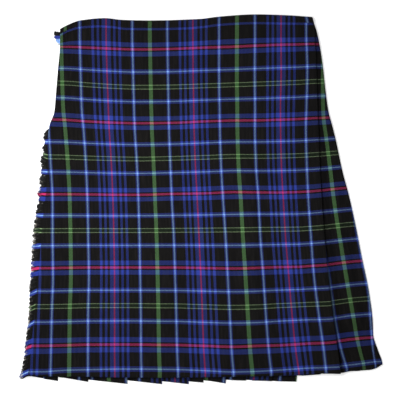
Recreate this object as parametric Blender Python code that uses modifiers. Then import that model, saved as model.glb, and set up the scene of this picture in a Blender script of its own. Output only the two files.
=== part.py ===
"""A scottish kilt laid flat with its fringed front apron up.

X runs to the right of the kilt as it is seen, Y from the hem to the waist and Z up. The origin
is at the middle of the kilt on the surface that it lies on. Lengths in the tables and in the
functions are millimetres, and make_object turns them into metres.
"""

import math
import random
from typing import NamedTuple

import bmesh
import bpy

MM = 0.001

# Cloth and seams
CLOTH = 1.2  # thickness of the tartan
BAND_WALL = 2.2  # the waistband's folded layers
SEAM = 0.3  # what parts two pieces at a seam
LAYER = 1.6  # from the middle of one pleat layer to the next

# Heights of the middle of each layer above the surface
BACK_Z = CLOTH / 2
UNDER_APRON_Z = 5.4
SIDE_PLEAT_Z = 7.2
APRON_LEFT_Z = 8.3
APRON_RIGHT_Z = 10.6
APRON_TURN_Z = 8.8
APRON_FOLD_RADIUS = (APRON_RIGHT_Z - APRON_TURN_Z) / 2
BAND_BACK_Z = BAND_WALL / 2
BAND_UNDER_Z = 5.0
BAND_LEFT_Z = 8.6
BAND_RIGHT_Z = 10.2

# Construction
HIP = 105.0  # the pleats are stitched down above this height
HEM = -300.0
BACK_TOP_LEFT = 287.0  # the band's top edge behind, at each side
BACK_TOP_RIGHT = 309.9
BAND_WIDTH = 10.0
PLEAT_DEPTH = 42.0
PLEAT_ROOM = 10.0  # kept between an inner fold and the next outer fold
PLEAT_RISE = 6.8  # the width in which a pleat climbs over the next fold
SEAM_TOP = 295.0  # the straight seams behind run from this height to the hem
LEFT_SEAM = (-215.0, -270.0)  # across at the top and at the hem
RIGHT_SEAM = (163.0, 272.0)
APRON_TURN = 60.0  # the cloth turned under at the apron's fold
SIDE_PLEAT_UNDER = 75.0  # how far the side pleat runs under the apron
UNDER_APRON_INSET = 2.5
UNDER_APRON_HEM = -297.0
UNDER_APRON_END = 40.0  # its free edge's distance from the apron's fold
SIDE_TURN_TOP = 0.6  # the apron's turn-under at the waist, as a share of its depth at the hem

# Flat stretches of the cloth: across and down each piece, and round its folds
APRON_COLUMNS = 26
APRON_ROWS = 22
TURN_COLUMNS = 3
SIDE_COLUMNS = 7
SIDE_ROWS = 20
UNDER_COLUMNS = 8
UNDER_ROWS = 12
BACK_ROWS = 7
BAND_COLUMNS = 4
BAND_ROWS = 2
FOLD_SIDES = 3
ROLL_SIDES = 6
SETTLE_STEPS = 4  # rounds in which a point's place across and its height settle

# Fringe
STRANDS = 168
TUFT_STRANDS = 10
STRAND_WIDTH = 1.3
STRAND_TIP = 0.45  # a tip's size as a share of the root's
STRAND_REACH = (0.85, 1.0)  # the shortest and longest strand, as a share of the whole reach
STRAND_DROP = (2.8, 4.4)  # how far a tip hangs below its root
STRAND_WANDER = 2.0  # degrees to either side of the row's lean
STRAND_STRETCHES = ((0.55, 0.3), (0.45, 0.7))  # each with its share of reach and of drop
STRANDS_A_FACE = 4  # strands along one flat face of the backing
BACKING_INSET = 0.4
BACKING_WIDTH = 6.0
BACKING_LOW = 6.35
BACKING_HIGH = 7.25
FRINGE_TOP = 119.0
FRINGE_END = -295.5
TUFT_TOP = 282.5
TUFT_END = 264.5


class Side(NamedTuple):
    """The kilt's edges at one height: the fringed edge, the apron's fold and the side."""

    height: float
    fringed: float
    folded: float
    side: float


SIDES = [
    Side(315.0, -240.5, 184.5, 186.0),
    Side(300.0, -240.5, 188.5, 190.5),
    Side(286.0, -240.5, 191.0, 195.5),
    Side(257.0, -241.0, 193.0, 201.5),
    Side(223.0, -244.0, 194.5, 206.5),
    Side(181.0, -247.5, 196.0, 212.0),
    Side(148.0, -250.5, 197.2, 217.0),
    Side(126.0, -258.5, 198.2, 223.0),
    Side(104.0, -261.5, 199.0, 228.5),
    Side(46.0, -262.0, 201.3, 241.0),
    Side(7.0, -265.0, 203.5, 251.5),
    Side(-44.0, -271.0, 207.0, 263.0),
    Side(-95.0, -274.5, 211.5, 273.0),
    Side(-158.0, -280.5, 218.0, 286.0),
    Side(-209.0, -285.0, 224.5, 292.4),
    Side(-231.0, -287.5, 227.5, 293.2),
    Side(-258.0, -290.0, 231.0, 301.5),
    Side(-281.0, -293.0, 234.0, 309.0),
    Side(-303.0, -296.0, 236.5, 309.5),
]


class Waist(NamedTuple):
    """The waistband at one place across: its top edge, and the seam below it."""

    across: float
    top: float
    seam: float


WAIST = [
    Waist(-241.0, 289.5, 284.0),
    Waist(-224.0, 298.0, 291.0),
    Waist(-207.0, 304.0, 294.5),
    Waist(-164.0, 308.0, 295.2),
    Waist(-135.0, 305.0, 293.7),
    Waist(-88.0, 304.0, 291.7),
    Waist(-3.0, 306.5, 295.0),
    Waist(30.0, 310.5, 298.6),
    Waist(93.0, 314.2, 301.0),
    Waist(142.0, 312.8, 300.2),
    Waist(187.0, 309.9, 299.8),
]


class Hem(NamedTuple):
    """The apron's hem at one place across, beyond its fold the side pleat's."""

    across: float
    height: float


APRON_HEM = [
    Hem(-296.0, -301.0),
    Hem(-240.0, -301.2),
    Hem(-147.0, -302.8),
    Hem(-70.0, -303.5),
    Hem(60.0, -301.4),
    Hem(167.0, -299.7),
    Hem(236.5, -296.5),
]

SIDE_HEM = [
    Hem(150.0, -294.0),
    Hem(236.0, -295.8),
    Hem(256.0, -292.5),
    Hem(286.0, -291.0),
    Hem(299.0, -287.5),
    Hem(309.5, -280.5),
]


class Pleat(NamedTuple):
    """A knife pleat at the hem: where its inner fold lies, how low its cloth hangs at the
    fold before it, and how low it hangs at its own fold."""

    fold: float
    start: float
    end: float


PLEATS = [
    Pleat(-244.5, -302.0, -309.5),
    Pleat(-193.0, -302.5, -311.0),
    Pleat(-126.0, -307.5, -314.6),
    Pleat(-67.0, -308.5, -315.0),
    Pleat(-21.5, -310.0, -315.0),
    Pleat(3.5, -310.5, -312.3),
    Pleat(41.5, -308.0, -313.8),
    Pleat(76.0, -308.0, -309.0),
    Pleat(120.0, -308.0, -311.0),
    Pleat(162.0, -309.0, -310.8),
    Pleat(203.5, -301.5, -298.5),
]
LAST_START = -295.0
LAST_END = -292.0


class Swell(NamedTuple):
    """A soft ridge in the apron, from its upper to its lower end."""

    top_across: float
    top_height: float
    low_across: float
    low_height: float
    half_width: float
    lift: float


SWELLS = [
    Swell(172.0, 130.0, 205.0, -330.0, 26.0, 2.4),
    Swell(120.0, 20.0, 128.0, -330.0, 30.0, 1.5),
    Swell(40.0, -60.0, 48.0, -330.0, 34.0, 1.6),
    Swell(-60.0, 60.0, -72.0, -330.0, 36.0, 1.8),
    Swell(-150.0, -40.0, -168.0, -330.0, 34.0, 1.5),
    Swell(-225.0, 180.0, -262.0, -200.0, 22.0, 1.6),
    Swell(-120.0, 300.0, -90.0, 170.0, 30.0, 1.2),
    Swell(90.0, 300.0, 70.0, 190.0, 40.0, 1.0),
]


class FringeRow(NamedTuple):
    """The fringe at one height: how far its tips reach, and how far it leans, in degrees."""

    height: float
    tip: float
    lean: float


FRINGE = [
    FringeRow(290.0, -252.0, 5.0),
    FringeRow(265.0, -250.5, -10.0),
    FringeRow(119.0, -270.5, 15.0),
    FringeRow(87.0, -274.5, 20.0),
    FringeRow(58.0, -276.5, 20.0),
    FringeRow(7.0, -281.0, 0.0),
    FringeRow(-56.0, -287.5, -12.0),
    FringeRow(-120.0, -292.5, -25.0),
    FringeRow(-180.0, -295.8, -35.0),
    FringeRow(-222.0, -300.5, -40.0),
    FringeRow(-296.0, -311.0, -40.0),
]


def lerp(start, end, share):
    """The value a share of the way from start to end."""
    return start + (end - start) * share


def smoothstep(share):
    """0 below 0, 1 above 1, and an even curve between."""
    share = min(max(share, 0.0), 1.0)
    return share * share * (3.0 - 2.0 * share)


def read(rows, key, column, at):
    """A column of a table at a place between its rows, on a smooth curve through them."""
    ordered = sorted(rows, key=lambda row: getattr(row, key))
    keys = [getattr(row, key) for row in ordered]
    values = [getattr(row, column) for row in ordered]
    at = min(max(at, keys[0]), keys[-1])
    last = len(keys) - 1
    i = min(max(sum(k <= at for k in keys) - 1, 0), last - 1)

    def chord(j):
        return (values[j + 1] - values[j]) / (keys[j + 1] - keys[j])

    def slope(j):
        if j in (0, last):
            return chord(0 if j == 0 else last - 1)
        before, after = chord(j - 1), chord(j)
        return 0.0 if before * after <= 0 else 2 * before * after / (before + after)

    width = keys[i + 1] - keys[i]
    t = (at - keys[i]) / width
    return (
        values[i] * (1 + 2 * t) * (1 - t) ** 2
        + values[i + 1] * t * t * (3 - 2 * t)
        + slope(i) * width * t * (1 - t) ** 2
        + slope(i + 1) * width * t * t * (t - 1)
    )


def fringed_edge(height):
    return read(SIDES, "height", "fringed", height)


def apron_fold(height):
    return read(SIDES, "height", "folded", height)


def kilt_side(height):
    return read(SIDES, "height", "side", height)


def waist_top(across):
    return read(WAIST, "across", "top", across)


def waist_seam(across):
    return read(WAIST, "across", "seam", across)


def back_top(across):
    """The straight top edge of the band behind, a little lower than in front."""
    share = (across - WAIST[0].across) / (WAIST[-1].across - WAIST[0].across)
    return lerp(BACK_TOP_LEFT, BACK_TOP_RIGHT, share)


def back_seam(across):
    return back_top(across) - BAND_WIDTH


def seam_behind(ends, height):
    """Where one of the straight seams behind lies at one height."""
    return lerp(*ends, (SEAM_TOP - height) / (SEAM_TOP - HEM))


def front_z(left_z, right_z, share):
    """The height of the front layers: low at their left and climbing to the folded edge."""
    return lerp(left_z, right_z, smoothstep(1.4 * share - 0.4))


def turn(centre_x, centre_z, radius, start, end, sides):
    """Points of an arc in a section, from one angle to another in degrees."""
    angles = [math.radians(lerp(start, end, i / sides)) for i in range(sides + 1)]
    return [(centre_x + radius * math.cos(a), centre_z + radius * math.sin(a)) for a in angles]


def material(name, colour, roughness=0.9):
    made = bpy.data.materials.new(name)
    made.use_nodes = True
    shader = made.node_tree.nodes["Principled BSDF"]
    shader.inputs["Base Color"].default_value = (*colour, 1.0)
    shader.inputs["Roughness"].default_value = roughness
    shader.inputs["Metallic"].default_value = 0.0
    return made


def make_object(name, mesh_maker, finish, collection):
    """An object whose mesh comes from a bmesh in millimetres."""
    bmesh.ops.scale(mesh_maker, vec=(MM, MM, MM), verts=mesh_maker.verts)
    mesh = bpy.data.meshes.new(name)
    mesh_maker.to_mesh(mesh)
    mesh_maker.free()
    mesh.materials.append(finish)
    mesh.shade_smooth()
    mesh.set_sharp_from_angle(angle=math.radians(40))
    made = bpy.data.objects.new(name, mesh)
    collection.objects.link(made)
    return made


def cloth(name, rows, finish, collection, wall=CLOTH):
    """A cloth wall through rows of points, which are the middle of the cloth."""
    maker = bmesh.new()
    grid = [[maker.verts.new(point) for point in row] for row in rows]
    for upper, lower in zip(grid, grid[1:]):
        for i in range(len(upper) - 1):
            maker.faces.new((upper[i], lower[i], lower[i + 1], upper[i + 1]))
    made = make_object(name, maker, finish, collection)
    solidify = made.modifiers.new("Wall", "SOLIDIFY")
    solidify.thickness = wall * MM
    solidify.offset = 0.0
    solidify.use_even_offset = True
    return made


def even(count):
    """Shares from 0 to 1 in even steps."""
    return [i / count for i in range(count + 1)]


def swell_lift(across, height):
    """How far the soft ridges lift the apron at one place."""
    total = 0.0
    for swell in SWELLS:
        length = swell.top_height - swell.low_height
        share = (swell.top_height - height) / length
        if not 0.0 < share < 1.0:
            continue
        middle = lerp(swell.top_across, swell.low_across, share)
        offset = (across - middle) / swell.half_width
        if abs(offset) < 1.0:
            fade = smoothstep(4.0 * share) * smoothstep(4.0 * (1.0 - share))
            total += swell.lift * fade * (1.0 - offset * offset) ** 2
    return total


def apron_place(share_across, share_down):
    """Where a point of the apron lies, from its shares across and down."""
    across = lerp(fringed_edge(0.0), apron_fold(0.0), share_across)
    for _ in range(SETTLE_STEPS):
        hem = read(APRON_HEM, "across", "height", across)
        height = lerp(waist_seam(across) - SEAM, hem, share_down)
        fold = apron_fold(height) - APRON_FOLD_RADIUS
        across = lerp(fringed_edge(height), fold, share_across)
    return across, height


def build_over_apron(finish, collection):
    """The front panel, with the cloth that turns under at its folded edge."""
    fold_z = (APRON_RIGHT_Z + APRON_TURN_Z) / 2
    rows = []
    for share_down in even(APRON_ROWS):
        row = []
        for share in even(APRON_COLUMNS):
            across, height = apron_place(share, share_down)
            base = front_z(APRON_LEFT_Z, APRON_RIGHT_Z, share)
            rise = swell_lift(across, height) * smoothstep(4.0 * (1.0 - share))
            row.append((across, height, base + rise))
        edge, height, _ = row[-1]
        fold = turn(edge, fold_z, APRON_FOLD_RADIUS, 90, -90, FOLD_SIDES)
        row += [(x, height, z) for x, z in fold[1:]]
        depth = APRON_TURN * lerp(SIDE_TURN_TOP, 1.0, share_down)
        row += [(edge - depth * share, height, APRON_TURN_Z) for share in even(TURN_COLUMNS)[1:]]
        rows.append(row)
    return cloth("over_apron", rows, finish, collection)


def build_side_pleat(finish, collection):
    """The pleat beyond the apron's fold, which rolls round the side to the back."""
    radius = (SIDE_PLEAT_Z - BACK_Z) / 2
    middle_z = (SIDE_PLEAT_Z + BACK_Z) / 2
    rows = []
    for share_down in even(SIDE_ROWS):
        row = []
        for share in even(SIDE_COLUMNS):
            height = lerp(SEAM_TOP, HEM, share_down)
            for _ in range(SETTLE_STEPS):
                start = apron_fold(height) - SIDE_PLEAT_UNDER
                end = kilt_side(height) - CLOTH / 2 - radius
                across = lerp(start, end, share)
                hem = read(SIDE_HEM, "across", "height", across)
                height = lerp(back_seam(across) - SEAM, hem, share_down)
            row.append((across, height, SIDE_PLEAT_Z))
        edge, height, _ = row[-1]
        for x, z in turn(edge, middle_z, radius, 90, -90, ROLL_SIDES)[1:]:
            row.append((x, lerp(back_seam(x) - SEAM, hem, share_down), z))
        across = seam_behind(RIGHT_SEAM, height) + SEAM / 2
        height = lerp(back_seam(across) - SEAM, hem, share_down)
        row.append((seam_behind(RIGHT_SEAM, height) + SEAM / 2, height, BACK_Z))
        rows.append(row)
    return cloth("side_pleat", rows, finish, collection)


def build_under_apron(finish, collection):
    """The inner front panel, which rolls round the other side to the back."""
    radius = (UNDER_APRON_Z - BACK_Z) / 2
    middle_z = (UNDER_APRON_Z + BACK_Z) / 2
    rows = []
    for share_down in even(UNDER_ROWS):
        height = lerp(back_seam(fringed_edge(HEM)) - SEAM, UNDER_APRON_HEM, share_down)
        far = fringed_edge(height) + UNDER_APRON_INSET + CLOTH / 2 + radius
        end = apron_fold(height) - UNDER_APRON_END
        section = [(seam_behind(LEFT_SEAM, height) - SEAM / 2, BACK_Z)]
        section += turn(far, middle_z, radius, 270, 90, ROLL_SIDES)
        section += [(lerp(far, end, share), UNDER_APRON_Z) for share in even(UNDER_COLUMNS)[1:]]
        row = []
        for across, z in section:
            here = lerp(back_seam(across) - SEAM, UNDER_APRON_HEM, share_down)
            row.append([across, here, z])
        row[0][0] = seam_behind(LEFT_SEAM, row[0][1]) - SEAM / 2
        rows.append(row)
    return cloth("under_apron", rows, finish, collection)


def inner_folds(height):
    """Where the pleats' inner folds lie at one height: even above the hip, and spread
    below it to their places at the hem."""
    left, right = fringed_edge(height), kilt_side(height)
    free = max((HIP - height) / (HIP - HEM), 0.0)
    step = (right - left) / (len(PLEATS) + 1)
    return [
        lerp(left + step * (k + 1), pleat.fold, free) for k, pleat in enumerate(PLEATS)
    ]


def run_hem(k, across, folds):
    """The hem of the stretch of cloth that ends in the inner fold k, at one place across."""
    if k == len(PLEATS):
        before, after = folds[-1], kilt_side(HEM)
        start, end = LAST_START, LAST_END
    else:
        before = folds[k - 1] if k else fringed_edge(HEM)
        after = folds[k]
        start, end = PLEATS[k].start, PLEATS[k].end
    return lerp(start, end, (across - before) / (after - before))


def back_section(height):
    """The pleated back's section: for each point its place across, its height above the
    surface, and how low the hem hangs there."""
    folds = inner_folds(height)
    hem_folds = inner_folds(HEM)
    radius = LAYER / 2
    wall = CLOTH / 2 + radius
    before, hem_before = seam_behind(LEFT_SEAM, height), LEFT_SEAM[1]
    section = [(before + SEAM / 2, BACK_Z, run_hem(0, hem_before, hem_folds))]
    for k, fold in enumerate(folds):
        depth = min(PLEAT_DEPTH, fold - before - PLEAT_ROOM)
        hem_depth = min(PLEAT_DEPTH, hem_folds[k] - hem_before - PLEAT_ROOM)
        outer = fold - depth
        hem_outer = hem_folds[k] - hem_depth
        at_outer = run_hem(k, hem_outer, hem_folds)
        at_fold = run_hem(k, hem_folds[k], hem_folds)
        next_outer = run_hem(k + 1, hem_outer, hem_folds)
        inner_z = BACK_Z + 2 * LAYER
        section.append((outer - PLEAT_RISE, BACK_Z, at_outer))
        section.append((outer + 0.2, inner_z, at_outer))
        inner = turn(fold - wall, inner_z - radius, radius, 90, -90, FOLD_SIDES)
        section += [(x, z, at_fold) for x, z in inner]
        outside = turn(outer + wall, BACK_Z + radius, radius, 90, 270, FOLD_SIDES)
        section += [(x, z, next_outer) for x, z in outside]
        before, hem_before = fold, hem_folds[k]
    end = seam_behind(RIGHT_SEAM, height) - SEAM / 2
    section.append((end, BACK_Z, run_hem(len(PLEATS), RIGHT_SEAM[1], hem_folds)))
    return section


def build_pleated_back(finish, collection):
    """The back: one wall in knife pleats whose outer faces lie on the surface."""
    rows = []
    for share_down in even(BACK_ROWS):
        height = lerp(back_seam(0.0), HEM, share_down)
        row = []
        for across, z, hem in back_section(height):
            top = back_seam(across) - SEAM
            row.append([across, lerp(top, hem, share_down), z])
        row[0][0] = seam_behind(LEFT_SEAM, row[0][1]) + SEAM / 2
        row[-1][0] = seam_behind(RIGHT_SEAM, row[-1][1]) - SEAM / 2
        rows.append(row)
    return cloth("pleated_back", rows, finish, collection)


def band_rows():
    """The waistband's way round the kilt: over the front, down the right side, back below
    the pleats, and up over the under apron. Each stop has its place across, its height
    above the surface, and how far it is behind, from 0 in front to 1."""
    left = fringed_edge(WAIST[0].top)
    right = kilt_side(WAIST[-1].top) - BAND_WALL / 2
    outer = (BAND_RIGHT_Z - BAND_BACK_Z) / 2
    inner = (BAND_UNDER_Z - BAND_BACK_Z) / 2
    across = [apron_place(share, 0.0)[0] for share in even(APRON_COLUMNS)]
    across = [x for x in across if x < right - outer - 1.0] + [right - outer]
    stops = []
    for x in across:
        share = (x - left) / (right - left)
        stops.append((x, front_z(BAND_LEFT_Z, BAND_RIGHT_Z, share), 0.0))
    roll = turn(right - outer, BAND_BACK_Z + outer, outer, 90, -90, ROLL_SIDES)
    stops += [(x, z, (i + 1) / ROLL_SIDES) for i, (x, z) in enumerate(roll[1:])]
    far = left + UNDER_APRON_INSET + BAND_WALL / 2 + inner
    stops += [(lerp(right - outer, far, s), BAND_BACK_Z, 1.0) for s in even(BAND_COLUMNS)[1:]]
    lift = turn(far, BAND_BACK_Z + inner, inner, 270, 90, ROLL_SIDES)
    stops += [(x, z, 1.0) for x, z in lift[1:]]
    end = right - UNDER_APRON_END
    stops += [(lerp(far, end, s), BAND_UNDER_Z, 1.0) for s in even(BAND_COLUMNS)[1:]]
    return stops


def build_waistband(finish, collection):
    """The band: one wall that follows its path round, from its top edge to its seam."""
    rows = []
    for share_down in even(BAND_ROWS):
        row = []
        for across, z, behind in band_rows():
            top = lerp(waist_top(across), back_top(across), behind)
            seam = lerp(waist_seam(across), back_seam(across), behind)
            row.append((across, lerp(top, seam, share_down), z))
        rows.append(row)
    return cloth("waistband", rows, finish, collection, wall=BAND_WALL)


def build_fringe(name, top, end, count, seed, finish, collection):
    """Strands on a backing strip, each drawn out of its own face of the strip's outer side."""
    chance = random.Random(seed)
    pitch = (top - end) / count
    maker = bmesh.new()
    stations = []
    for i in range(count):
        middle = top - pitch * (i + 0.5)
        stations += [middle + STRAND_WIDTH / 2, middle - STRAND_WIDTH / 2]

    def side_pair(inset, height):
        across = fringed_edge(height) + inset
        return [maker.verts.new((across, height, z)) for z in (BACKING_HIGH, BACKING_LOW)]

    step = 2 * STRANDS_A_FACE
    outer = [side_pair(BACKING_INSET, height) for height in stations]
    inner = [side_pair(BACKING_WIDTH, height) for height in stations[::step] + stations[-1:]]
    roots = []
    for i, (above, below) in enumerate(zip(outer, outer[1:])):
        face = maker.faces.new((above[0], above[1], below[1], below[0]))
        if i % 2 == 0:
            roots.append(face)
    for above, below in zip(inner, inner[1:]):
        maker.faces.new((above[1], above[0], below[0], below[1]))
    for k in range(len(inner) - 1):
        stretch = outer[step * k : step * (k + 1) + 1]
        maker.faces.new([pair[0] for pair in stretch] + [inner[k + 1][0], inner[k][0]])
        maker.faces.new([pair[1] for pair in stretch][::-1] + [inner[k][1], inner[k + 1][1]])
    maker.faces.new((outer[0][1], outer[0][0], inner[0][0], inner[0][1]))
    maker.faces.new((outer[-1][0], outer[-1][1], inner[-1][1], inner[-1][0]))
    for i, face in enumerate(roots):
        draw_strand(maker, face, top - pitch * (i + 0.5), chance)
    bmesh.ops.recalc_face_normals(maker, faces=maker.faces)
    return make_object(name, maker, finish, collection)


def draw_strand(maker, face, height, chance):
    """Draws one strand out of a face of the backing, in two lengths that droop."""
    tip = read(FRINGE, "height", "tip", height)
    lean = read(FRINGE, "height", "lean", height)
    lean += chance.uniform(-STRAND_WANDER, STRAND_WANDER)
    reach = (fringed_edge(height) - tip) * chance.uniform(*STRAND_REACH)
    drop = chance.uniform(*STRAND_DROP)
    for share, fall in STRAND_STRETCHES:
        made = bmesh.ops.extrude_discrete_faces(maker, faces=[face])
        face = made["faces"][0]
        centre = face.calc_center_median()
        step = reach * share
        move = (-step, step * math.tan(math.radians(lean)), -drop * fall)
        shrink = STRAND_TIP ** (1 / len(STRAND_STRETCHES))
        for vert in face.verts:
            vert.co = centre + (vert.co - centre) * shrink
        bmesh.ops.translate(maker, vec=move, verts=face.verts)


def main():
    for old in list(bpy.data.objects):
        bpy.data.objects.remove(old, do_unlink=True)
    collection = bpy.data.collections.new("scottish_kilt")
    bpy.context.scene.collection.children.link(collection)
    tartan = material("tartan", (0.020, 0.028, 0.075))
    tartan_back = material("tartan_back", (0.018, 0.024, 0.065))
    tartan_side = material("tartan_side", (0.019, 0.027, 0.070))
    tartan_inner = material("tartan_inner", (0.016, 0.022, 0.060))
    band_cloth = material("waistband_tartan", (0.022, 0.030, 0.085))
    fringe_wool = material("fringe_wool", (0.180, 0.120, 0.250), 0.95)
    tuft_wool = material("tuft_wool", (0.050, 0.060, 0.200), 0.95)
    build_over_apron(tartan, collection)
    build_side_pleat(tartan_side, collection)
    build_pleated_back(tartan_back, collection)
    build_under_apron(tartan_inner, collection)
    build_waistband(band_cloth, collection)
    build_fringe(
        "apron_fringe", FRINGE_TOP, FRINGE_END, STRANDS, 5, fringe_wool, collection
    )
    build_fringe("fringe_tuft", TUFT_TOP, TUFT_END, TUFT_STRANDS, 9, tuft_wool, collection)


main()
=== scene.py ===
"""The looks of a scottish kilt laid flat: its tartan, folds, fringe, sewing and light.

Lengths in the classes are millimetres. X runs to the right of the kilt as it is seen, Y from
the hem to the waist and Z up from the surface that it lies on.
"""

from __future__ import annotations

import logging
import math
from dataclasses import dataclass
from enum import Enum

import bpy
import numpy as np
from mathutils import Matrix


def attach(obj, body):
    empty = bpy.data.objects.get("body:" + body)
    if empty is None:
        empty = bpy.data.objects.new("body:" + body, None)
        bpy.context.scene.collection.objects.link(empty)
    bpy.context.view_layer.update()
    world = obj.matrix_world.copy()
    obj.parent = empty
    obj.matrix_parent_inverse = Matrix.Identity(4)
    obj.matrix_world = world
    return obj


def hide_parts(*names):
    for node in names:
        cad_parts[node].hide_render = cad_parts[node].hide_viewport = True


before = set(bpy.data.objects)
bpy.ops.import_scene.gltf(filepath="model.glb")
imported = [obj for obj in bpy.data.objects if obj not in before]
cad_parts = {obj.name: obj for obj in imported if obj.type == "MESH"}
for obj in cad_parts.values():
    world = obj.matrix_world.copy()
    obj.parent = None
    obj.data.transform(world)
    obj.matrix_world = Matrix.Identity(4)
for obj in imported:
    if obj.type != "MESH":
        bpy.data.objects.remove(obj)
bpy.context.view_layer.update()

LOG = logging.getLogger("kilt")
MM = 0.001
BODY = "root"
WEAVE_MAP = "Weave"
EYE_GAMMA = 2.2

Number = float | np.ndarray
Colour = tuple[float, float, float, float]


def lerp(start: Number, end: Number, share: Number) -> Number:
    """The value a share of the way from start to end."""
    return start + (end - start) * share


def smoothstep(share: Number) -> Number:
    """0 below 0, 1 above 1, and an even curve between."""
    share = np.clip(share, 0.0, 1.0)
    return share * share * (3.0 - 2.0 * share)


def ease(at: Number, start: float, end: float) -> Number:
    """0 on the near side of start, 1 on the far side of end, and an even curve between."""
    return smoothstep((at - start) / (end - start))


def shares(count: int) -> np.ndarray:
    """Shares from 0 to 1 in a number of even steps."""
    return np.linspace(0.0, 1.0, count + 1)


def run_along(x: np.ndarray, z: np.ndarray) -> np.ndarray:
    """How far along its section each point lies, from 0 at the first."""
    steps = np.hypot(np.diff(x, axis=-1), np.diff(z, axis=-1))
    return np.concatenate((np.zeros_like(steps[..., :1]), np.cumsum(steps, axis=-1)), axis=-1)


def side_by_side(*pairs: tuple[np.ndarray, np.ndarray]) -> np.ndarray:
    """Two blocks of columns put together, given as a pair for each coordinate."""
    return np.stack([np.concatenate(pair, axis=1) for pair in pairs], axis=-1)


def add_object(name: str, data: bpy.types.ID) -> bpy.types.Object:
    """Adds an object to the scene.

    Args:
        name: its name.
        data: its mesh, light or camera.

    Returns:
        The object.
    """
    made = bpy.data.objects.new(name, data)
    bpy.context.scene.collection.objects.link(made)
    return made


def add_points(name: str, points: np.ndarray, **carried: np.ndarray) -> bpy.types.Object:
    """Adds an object of loose points to the scene.

    Args:
        name: its name.
        points: the points, in millimetres.
        carried: a number or a vector for each point, under the name that it carries it by.

    Returns:
        The object.
    """
    mesh = bpy.data.meshes.new(name)
    mesh.from_pydata((points * MM).tolist(), [], [])
    for key, values in carried.items():
        kind, part = ("FLOAT", "value") if values.ndim == 1 else ("FLOAT_VECTOR", "vector")
        layer = mesh.attributes.new(key, kind, "POINT")
        layer.data.foreach_set(part, values.astype(np.float32).ravel())
    return add_object(name, mesh)


class Curve:
    """A smooth curve through the rows of a table, which never swings past them."""

    def __init__(self, *stops: tuple[float, float]) -> None:
        """Keeps the stops in order and works out the slope at each.

        Args:
            stops: the pairs of a place and its value.
        """
        ordered = sorted(stops)
        self.keys = np.array([key for key, _ in ordered])
        self.values = np.array([value for _, value in ordered])
        chords = np.diff(self.values) / np.diff(self.keys)
        before, after = chords[:-1], chords[1:]
        rising = before * after > 0
        total = np.where(rising, before + after, 1.0)
        inner = np.where(rising, 2.0 * before * after / total, 0.0)
        self.slopes = np.concatenate(([chords[0]], inner, [chords[-1]]))

    def at(self, place: Number) -> Number:
        """Reads the curve, which stays level past its ends.

        Args:
            place: a place, or an array of places.

        Returns:
            The curve's value at each.
        """
        place = np.clip(place, self.keys[0], self.keys[-1])
        found = np.searchsorted(self.keys, place, side="right") - 1
        i = np.clip(found, 0, len(self.keys) - 2)
        width = self.keys[i + 1] - self.keys[i]
        t = (place - self.keys[i]) / width
        first, last = self.values[i], self.values[i + 1]
        ends = first * (1 + 2 * t) * (1 - t) ** 2 + last * t * t * (3 - 2 * t)
        pull = self.slopes[i] * t * (1 - t) ** 2 + self.slopes[i + 1] * t * t * (t - 1)
        return ends + pull * width

    def moved(self, by: float) -> Curve:
        """The same curve with its values moved by a distance."""
        return Curve(*zip(self.keys, self.values + by))


# Down the kilt: a height, and where its fringed edge, the apron's fold and the side lie.
EDGES = (
    (315.0, -240.5, 184.5, 188.0),
    (300.0, -240.5, 188.5, 192.0),
    (286.0, -240.5, 191.0, 196.6),
    (257.0, -241.0, 193.0, 202.7),
    (223.0, -244.0, 194.5, 207.6),
    (181.0, -247.5, 196.0, 212.2),
    (148.0, -250.5, 197.2, 217.0),
    (126.0, -258.5, 198.2, 223.0),
    (104.0, -261.5, 199.0, 228.5),
    (46.0, -262.0, 201.3, 241.0),
    (7.0, -265.0, 203.5, 251.5),
    (-44.0, -271.0, 207.0, 263.0),
    (-95.0, -274.5, 211.5, 273.0),
    (-158.0, -280.5, 218.0, 286.0),
    (-209.0, -285.0, 224.5, 292.4),
    (-231.0, -287.5, 227.5, 293.2),
    (-258.0, -290.0, 231.0, 301.5),
    (-281.0, -293.0, 234.0, 309.0),
    (-303.0, -296.0, 236.5, 309.5),
)


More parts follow.
